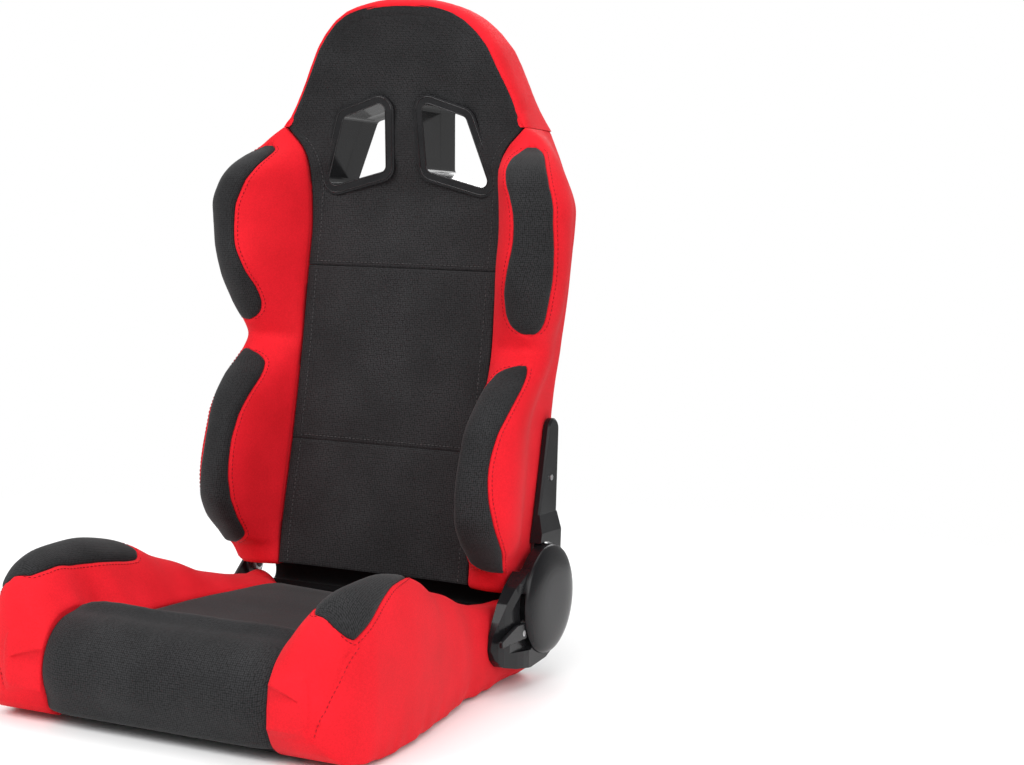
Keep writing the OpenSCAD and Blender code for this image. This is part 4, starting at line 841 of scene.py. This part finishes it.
borderLook = {"bulge": 11.0, "fullness": 3, "neckEnd": 782.0, "middleZ": 780, "depth": 6.0, "step": 7.0,
              "slow": (0.4, 70, 31), "fine": (0.25, 16, 32)}
rearEdge = [[168.5, 742], [162, 762], [153, 782], [142, 808], [134, 830], [126, 848], [110, 868],
            [93, 884], [71, 896], [50, 902.5], [32, 906.5], [16, 909], [0, 909.6]]


def makeHeadBorder():
    # Red band round the head, sewn to the front pad and the rear panel
    look = borderLook
    front = resample(headEdge, look["step"])
    front = np.concatenate([front, front[-2::-1] * [-1, 1]])
    rear = withCount(resample(rearEdge, look["step"]), (len(front) + 1) // 2)
    rear = np.concatenate([rear, rear[-2::-1] * [-1, 1]])
    way = np.gradient(front, axis=0)
    out = np.stack([way[:, 1], -way[:, 0]], 1)
    out /= np.linalg.norm(out, axis=1, keepdims=True)
    out *= np.sign((out * (front - [0, look["middleZ"]])).sum(1))[:, None]
    w = gathered(0, 1, 26)
    bulge = look["bulge"] * np.sqrt(np.clip(1 - np.abs(2 * w - 1) ** look["fullness"], 0, 1))[:, None]
    thickness = look["depth"] * np.minimum(1, np.minimum(w, 1 - w) * 12 + 0.25)[::-1, None]
    sectionX, sectionY = bolsterAt(neckZ, 4 * w)
    rings = []
    for f, r, o in zip(front, rear, out):
        yF, yR = backProfile["seamY"](f[1]), backProfile["rearY"](r[1])
        neck = 1 - ease(neckZ, look["neckEnd"], f[1])  # 1 where the band meets the side bolster
        xz = mix(f, r, w[:, None]) + o * bulge
        y = mix(yF + 2.4, yR - 1.5, w)
        y[0], y[-1] = yF + 3.0, yR - 2.0
        joined = np.sign(f[0] + 1e-6) * (sectionX - neckX + abs(f[0]))
        outer = np.stack([mix(xz[:, 0], joined, neck), mix(y, sectionY, neck), xz[:, 1]], -1)
        outer[:, [0, 2]] += o * wavy(outer, look)[:, None]
        outer[:, 2] = np.maximum(mix(outer[:, 2], f[1], neck), neckZ + 0.2)
        inner = outer[::-1].copy()
        inner[:, [0, 2]] -= o * thickness
        inner[:, 2] = np.maximum(inner[:, 2], neckZ + 0.3)
        rings.append(np.concatenate([outer, inner]))
    return loft("head_border_cover", rings)


finishPiece(makeHeadBorder(), "redKnit", "backrest", ["head_border"])
print("head border made")

rearLook = {"top": 910.5, "bendZ": 860, "low": 112, "thick": 8.0, "crown": 2.2, "reach": 70, "edgeDip": 3.0,
            "edgeRoll": 9, "pivot": (248.0, 112.0), "heel": 28.0, "heelTurn": 88, "calmZ": (110, 165),
            "slow": (0.45, 110, 41, 30), "fine": (0.25, 18, 42, 9)}


def makeRearPanel():
    look = rearLook
    (pivotY, pivotZ), heel = look["pivot"], look["heel"]
    bend = np.sin(np.linspace(0.05, 1, 26) * math.pi / 2)
    zs = np.concatenate([np.linspace(look["low"], look["bendZ"], 112),
                         look["bendZ"] + (look["top"] - look["bendZ"]) * bend])
    turn = np.linspace(0, look["heelTurn"], 14)[:0:-1]
    # depth and height of each row, and the height that its width is taken at
    y = np.concatenate([pivotY + heel * np.cos(np.radians(turn)), backProfile["rearY"](zs)])
    z = np.concatenate([pivotZ - heel * np.sin(np.radians(turn)), zs])
    half = backProfile["rearHalf"](np.concatenate([look["low"] - turn * 0.55, zs])) - 1.0
    yz = np.stack([y, z], 1)
    way = np.gradient(yz, axis=0)
    way /= np.linalg.norm(way, axis=1, keepdims=True)
    out = np.stack([way[:, 1], -way[:, 0]], 1)
    run = np.concatenate([[0], np.cumsum(np.linalg.norm(np.diff(yz, axis=0), axis=1))])
    x = half[:, None] * acrossPlaces(0.16, 12, 27)
    slope = np.abs(np.gradient(half, run))[:, None]
    toSide = (half[:, None] - np.abs(x)) / np.sqrt(1 + slope ** 2)
    toSide = np.minimum(toSide, (run[-1] - run)[:, None] + 0.5)
    flat = np.stack([x, y[:, None] + 0 * x, z[:, None] + 0 * x], -1)
    rise = look["crown"] * np.clip(toSide / look["reach"], 0, 1) ** 0.6
    rise += unevenness(flat, toSide, look) - look["edgeDip"] * roll(toSide, look["edgeRoll"])
    calm = mix(0.15, 1, ease(*look["calmZ"], z[:, None]))  # less at the heel
    rise = np.where(rise > 0, rise * calm, rise)
    outer = flat.copy()
    outer[..., 1:] += out[:, None] * rise[..., None]
    innerX = half[:, None] * np.linspace(1, -1, 9)
    inner = np.stack([innerX, *((yz - out * look["thick"]).T[..., None] + 0 * innerX)], -1)
    return cutSlots(loft("rear_panel_cover", np.concatenate([outer, inner], 1)), 280, 420)


finishPiece(makeRearPanel(), "backKnit", "backrest", ["rear_panel"])
print("rear panel made")

# Base
tipSpan = tipEdges["span"]
baseRows = rowPlaces(np.linspace(-299, tipSpan[0], 22), gathered(*tipSpan, 74),
                     np.linspace(tipSpan[1], 267.7, 58), np.linspace(196, 236, 14))
thighLook = {"columns": (20, 8, 74), "rounds": 18, "waves": {1: (0.7, 90, 5), -1: (0.7, 90, 8)},
             "seamDip": 2.4, "seamRoll": 7, "seamPucker": 10, "crease": 1.1, "creaseWidth": 26,
             "creaseHeight": 26, "creaseSeed": 15, "frontEnd": -257, "wall": 182, "under": 30.7,
             "frontRound": 4.5}
frontSeam = np.array([[-260, 1.62], [-270, 1.67], [-278, 1.72], [-285, 1.83], [-290, 1.95], [-293, 2.07],
                      [-295, 2.2], [-296, 2.42], [-296.2, 2.65], [-296, 2.86]])


def makeBaseBolster(side, name, node):
    look, y = thighLook, baseRows
    edges = edgeColumns(look["columns"])
    grid = eased(baseSection(y, insertPlaces(y, tipEdges, 3, look["columns"])), edges[1] + 5, look["rounds"])
    run, near = distances(grid, edges, y, tipSpan)
    normal = normalsOf(grid, (40, 24), upward)
    height, pucker = clothHeight(grid, run, near, look["waves"][side])
    toSeam = toPath(grid, resample(baseSection(*frontSeam.T), 2.5))
    height -= look["seamDip"] * roll(toSeam, look["seamRoll"]) * (near >= 0)
    height += pucker * np.exp(-toSeam / look["seamPucker"])
    creases = ripple(grid * [1, 1, 0.3], look["creaseWidth"], look["creaseSeed"])
    creases *= np.exp(-np.clip(grid[..., 2] - 6, 0, None) / look["creaseHeight"])
    height += look["crease"] * creases * (near > 0)
    skin = grid + normal * height[..., None]
    frontEnd = y < look["frontEnd"]
    seamX, low = baseProfile["seamX"](y), baseProfile["lowZ"](y)
    wall = np.where(frontEnd, seamX + 2, look["wall"])
    under = np.maximum(np.where(frontEnd, low, look["under"]), low + 1)
    inner = innerCorners([(wall, low), (wall, under), (seamX + 1.0, under + 0.5),
                          (seamX + 0.8, (under + skin[:, :1, 2]) / 2)], y, 1)
    rings = np.concatenate([skin, inner], 1)
    middle = rings[0].mean(0)
    domes = [middle + (rings[0] - middle) * [math.cos(a), 1, math.cos(a)]
             - [0, look["frontRound"] * math.sin(a), 0] for a in np.radians([84, 72, 56, 38, 20])]
    piece = loft(name, mirrored(np.concatenate([domes, rings]), side), sharp=110)
    finishPiece(piece, "redKnit", "base", [node])
    skin, normal = mirrored(skin, side), mirrored(normal, side)
    stitchBeside("stitches_base_red", skin, normal, run, edges, y[:, 0], tipSpan)
    path = mirrored(baseSection(frontSeam[:-1, 0], frontSeam[:-1, 1] + 0.07), side)
    nearest = ((skin.reshape(-1, 3) - path[:, None]) ** 2).sum(-1).argmin(1)
    stitchAlong("stitches_base_red", skin.reshape(-1, 3)[nearest], normal.reshape(-1, 3)[nearest])


for side, word in ((1, "right"), (-1, "left")):
    makeBaseBolster(side, "base_bolster_cover_" + word, "base_bolster_" + word)
    makeInset(side, "bolster_tip_cover_" + word, "bolster_tip_" + word, "base", tipEdges)
print("base bolsters made")

rollLook = {"half": 156.4, "top": 150.0, "front": -306.0, "rear": -190.0, "under": 30.4, "endRun": 30.0,
            "axisY": -242, "tall": 62, "low": 14, "ends": {"top": 134, "front": -284, "low": 24},
            "points": 72, "step": 6.0, "slow": (0.8, 80, 51), "fine": (0.2, 20, 52)}


def makeFrontRoll():
    look, rings = rollLook, []
    half = gathered(0, look["half"], 44)
    a = np.radians(np.linspace(214, 86, 40))
    rear, under = look["rear"], look["under"] + 0.4
    for x in rowPlaces(-half, half, np.linspace(-150, 150, 41))[:, 0]:
        inward = (look["half"] - abs(x) + 9) / (look["endRun"] + 9)
        full = math.sqrt(max(0.0, 1 - (1 - min(1, inward)) ** 2))
        low, front, top = (mix(look["ends"][k], look[k], full) for k in ("low", "front", "top"))
        arc = np.stack([look["axisY"] + (look["axisY"] - front) * np.cos(a),
                        (low + 40 + top - look["tall"]) / 2 + look["tall"] * np.sin(a)], 1)
        lower = [[rear, under], [-225, under], [-252, under], [-266, low + 7], [-278, low], [-286, low - 0.5]]
        upper = [[-225, top - 4.5], [-212, top - 9], [-200, top - 20], [rear, 108]]
        shape = resample(np.concatenate([lower, arc, upper, lower[:1]]), look["step"])
        shape = withCount(shape, look["points"])[:-1]
        for _ in range(3):
            shape = softened(shape)
        rings.append(np.insert(shape, 0, x, axis=1))
    rings = np.array(rings)
    way = rings - rings.mean(1, keepdims=True)
    way /= np.linalg.norm(way, axis=2, keepdims=True)
    free = np.clip((rings[..., 2] - 34) / 12, 0, 1) * np.clip((-194 - rings[..., 1]) / 10, 0, 1)
    return loft("front_roll_cover", rings + way * (wavy(rings, look) * free)[..., None])


finishPiece(makeFrontRoll(), "blackKnit", "base", ["front_roll"])

seatLook = {"rows": (-189.5, 205.0), "crown": 4.0, "reach": 60, "sideDip": 3.0, "sideRoll": 10, "endDip": 6.0,
            "endRoll": 14, "under": 30.4, "slow": (0.6, 90, 61), "fine": (0.25, 17, 62, 10),
            "middle": smooth([
                [-190, 108], [-160, 104], [-100, 102], [60, 100], [150, 99], [190, 93], [206, 82]])}


def makeSeatPad():
    look = seatLook
    y = rowPlaces(gathered(*look["rows"], 60))
    half, edge = baseProfile["seamX"](y) - 0.8, baseProfile["dipZ"](y)
    u = acrossPlaces(0.2, 12, 25)[None]
    x = half * u
    level = y + 0 * x
    z = mix(np.minimum(edge, look["middle"](y)), edge, u ** 2)
    toSide = half - np.abs(x)
    toEnd = np.minimum(level - look["rows"][0], look["rows"][1] - level)
    fullness = np.clip(toSide / look["reach"], 0, 1) ** 0.5 * np.clip(toEnd / look["reach"], 0, 1) ** 0.5
    z = z + look["crown"] * fullness
    z = z - look["sideDip"] * roll(toSide, look["sideRoll"]) - look["endDip"] * roll(toEnd, look["endRoll"])
    grid = np.stack([x, level, z], -1)
    (high, wide, slowSeed), (deep, narrow, fineSeed, fadeReach) = look["slow"], look["fine"]
    grid[..., 2] = (z + high * ripple(grid, wide, slowSeed)
                    + deep * ripple(grid, narrow, fineSeed) * np.exp(-toSide / fadeReach))
    underU = np.linspace(1, -1, 9)[None]
    bottom = np.stack([half * underU, y + 0 * underU, look["under"] + 1.5 * underU ** 2 + 0 * y], -1)
    return loft("seat_pad_cover", np.concatenate([grid, bottom], 1))


finishPiece(makeSeatPad(), "blackKnit", "base", ["seat_pad"])

baseRearLook = {"rear": 276.0, "half": 213.0, "low": 4.0, "top": 87.0, "corner": 32.0, "thick": 8.0,
                "crown": 1.8, "reach": 40, "edgeDip": 5.0, "edgeRoll": 12,
                "slow": (0.4, 80, 71, 20), "fine": (0.2, 17, 72, 9)}


def makeBaseRearPanel():
    look = baseRearLook
    low, top, corner = look["low"], look["top"], look["corner"]
    z = np.concatenate([low + gathered(0, 34, 16), np.linspace(42, 78, 8), gathered(78, top, 10)[1:]])
    z = z[:, None]
    drop = np.clip(low + corner - z, 0, corner)
    half = look["half"] - corner + np.sqrt(np.clip(corner ** 2 - drop ** 2, 0, None))
    x = half * acrossPlaces(0.14, 10, 27)[None]
    level = z + 0 * x
    toEdge = np.minimum(half - np.abs(x), np.minimum(level - low, top - level) + 0.5)
    y = look["rear"] + look["crown"] * np.clip(toEdge / look["reach"], 0, 1) ** 0.6
    y = y - look["edgeDip"] * roll(toEdge, look["edgeRoll"])
    outer = np.stack([x, y, level], -1)
    outer[..., 1] += unevenness(outer, toEdge, look)
    innerU = np.linspace(1, -1, 9)[None]
    inner = np.stack([half * innerU, look["rear"] - look["thick"] + 0 * half * innerU, z + 0 * innerU], -1)
    return loft("base_rear_cover", np.concatenate([outer, inner], 1))


finishPiece(makeBaseRearPanel(), "backKnit", "base", ["base_rear_panel"])
print("base cushions made")

sewStitches("stitches_back_red", "redThread", "backrest")
sewStitches("stitches_back_black", "blackThread", "backrest")
sewStitches("stitches_base_red", "redThread", "base")
print("stitches sewn")

# Hard pieces keep their shapes and get rounded edges and a finish
nodeFinish = {
    "satinPlastic": {"bevel": 0.0024, "nodes": ["recliner_cover", "arm_cover", "lever_grip"]},
    "bezelPlastic": {"bevel": 0.0012, "nodes": ["slot_bezel_front_left", "slot_bezel_front_right",
                                                "slot_bezel_rear_left", "slot_bezel_rear_right"]},
    "blackSteel": {"bevel": 0.0003, "nodes": ["hinge_plate", "hinge_arm", "hinge_bolt", "recliner_plate",
                                              "recliner_arm", "lever_tang", "pawl"]},
    "frameSteel": {"bevel": 0.0005, "nodes": ["back_frame", "base_frame"]},
    "brightSteel": {"bevel": 0.00025, "nodes": [
        "weld_nuts", "seat_wires", "back_wires", "plate_bolts", "cover_screws", "pivot_pin", "pivot_clip",
        "hinge_nut", "spiral_spring", "lever_shaft", "pawl_pin", "lever_screw", "arm_bolts",
        "arm_cover_screw"]},
}


def finishNode(name, look, bevel):
    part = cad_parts[name]
    part.data.materials.clear()
    part.data.materials.append(finishes[look])
    part.modifiers.new("weld", "WELD").merge_threshold = 0.00001
    edge = part.modifiers.new("edge", "BEVEL")
    edge.width, edge.segments, edge.limit_method = bevel, 3, "ANGLE"
    edge.angle_limit = math.radians(34)


for look, group in nodeFinish.items():
    for name in group["nodes"]:
        finishNode(name, look, group["bevel"])
print("hard pieces finished")

# Floor and light
stageLook = {"radius": 1900, "sides": 96, "drop": 0.4, "fadeFrom": 0.62, "colour": (0.95, 0.95, 0.95),
             "ambient": 0.42}


def makeStage():
    # A pale round floor that thins out into the white all round
    look = stageLook
    radius, sides = look["radius"], look["sides"]
    points = [(0, 0, -look["drop"])] + [(radius * math.cos(a), radius * math.sin(a), -look["drop"])
                                        for a in np.linspace(0, 2 * math.pi, sides, endpoint=False)]
    piece = addPiece("floor", points, [(0, i + 1, (i + 1) % sides + 1) for i in range(sides)])
    material, tree, place = newMaterial("pale_floor")
    pale = [(0.3, tuple(c * 0.985 for c in look["colour"])), (0.7, look["colour"])]
    far = addNode(tree, "VectorMath", {0: place}, operation="LENGTH").outputs["Value"]
    fade = addNode(tree, "MapRange", {"Value": far, "From Min": radius * look["fadeFrom"] / 1000,
                                      "From Max": radius / 1000, "To Min": 1, "To Max": 0},
                   interpolation_type="SMOOTHSTEP")
    setInputs(tree, tree.nodes["Principled BSDF"], {
        "Base Color": ramp(tree, noise(tree, place, 1.2, 2), pale),
        "Roughness": 0.9, "Alpha": fade.outputs[0]})
    piece.data.materials.append(material)


lampSetup = [
    {"name": "key", "place": (-1.6, -2.6, 2.6), "aim": (0, 0.1, 0.5), "size": 2.0, "power": 68},
    {"name": "fill", "place": (2.9, -1.7, 1.7), "aim": (0, 0.1, 0.45), "size": 2.2, "power": 58},
    {"name": "front", "place": (0.9, -2.5, 2.5), "aim": (0, 0.1, 0.45), "size": 2.4, "power": 42},
    {"name": "top", "place": (0.2, 0.4, 3.4), "aim": (0, 0.1, 0.3), "size": 2.6, "power": 46},
    {"name": "back", "place": (-0.6, 3.0, 2.2), "aim": (0, 0.2, 0.5), "size": 2.0, "power": 45},
]


def addLamps():
    for lamp in lampSetup:
        data = bpy.data.lights.new(lamp["name"], "AREA")
        data.shape, data.size, data.energy = "SQUARE", lamp["size"], lamp["power"]
        light = bpy.data.objects.new(lamp["name"], data)
        light.location = lamp["place"]
        way = Vector(lamp["aim"]) - Vector(lamp["place"])
        light.rotation_euler = way.to_track_quat("-Z", "Y").to_euler()
        scene.collection.objects.link(light)
    world = bpy.data.worlds.new("studio")
    world.use_nodes = True
    tree = world.node_tree
    ambient = tree.nodes["Background"]
    setInputs(tree, ambient, {"Color": (1, 1, 1, 1), "Strength": stageLook["ambient"]})
    white = addNode(tree, "Background", {"Color": (1, 1, 1, 1), "Strength": 1.0})
    seen = addNode(tree, "LightPath", {}).outputs["Is Camera Ray"]
    either = addNode(tree, "MixShader", {0: seen, 1: ambient.outputs[0], 2: white.outputs[0]})
    setInputs(tree, tree.nodes["World Output"], {0: either.outputs[0]})
    scene.world = world


makeStage()
addLamps()
print("stage and lamps set")
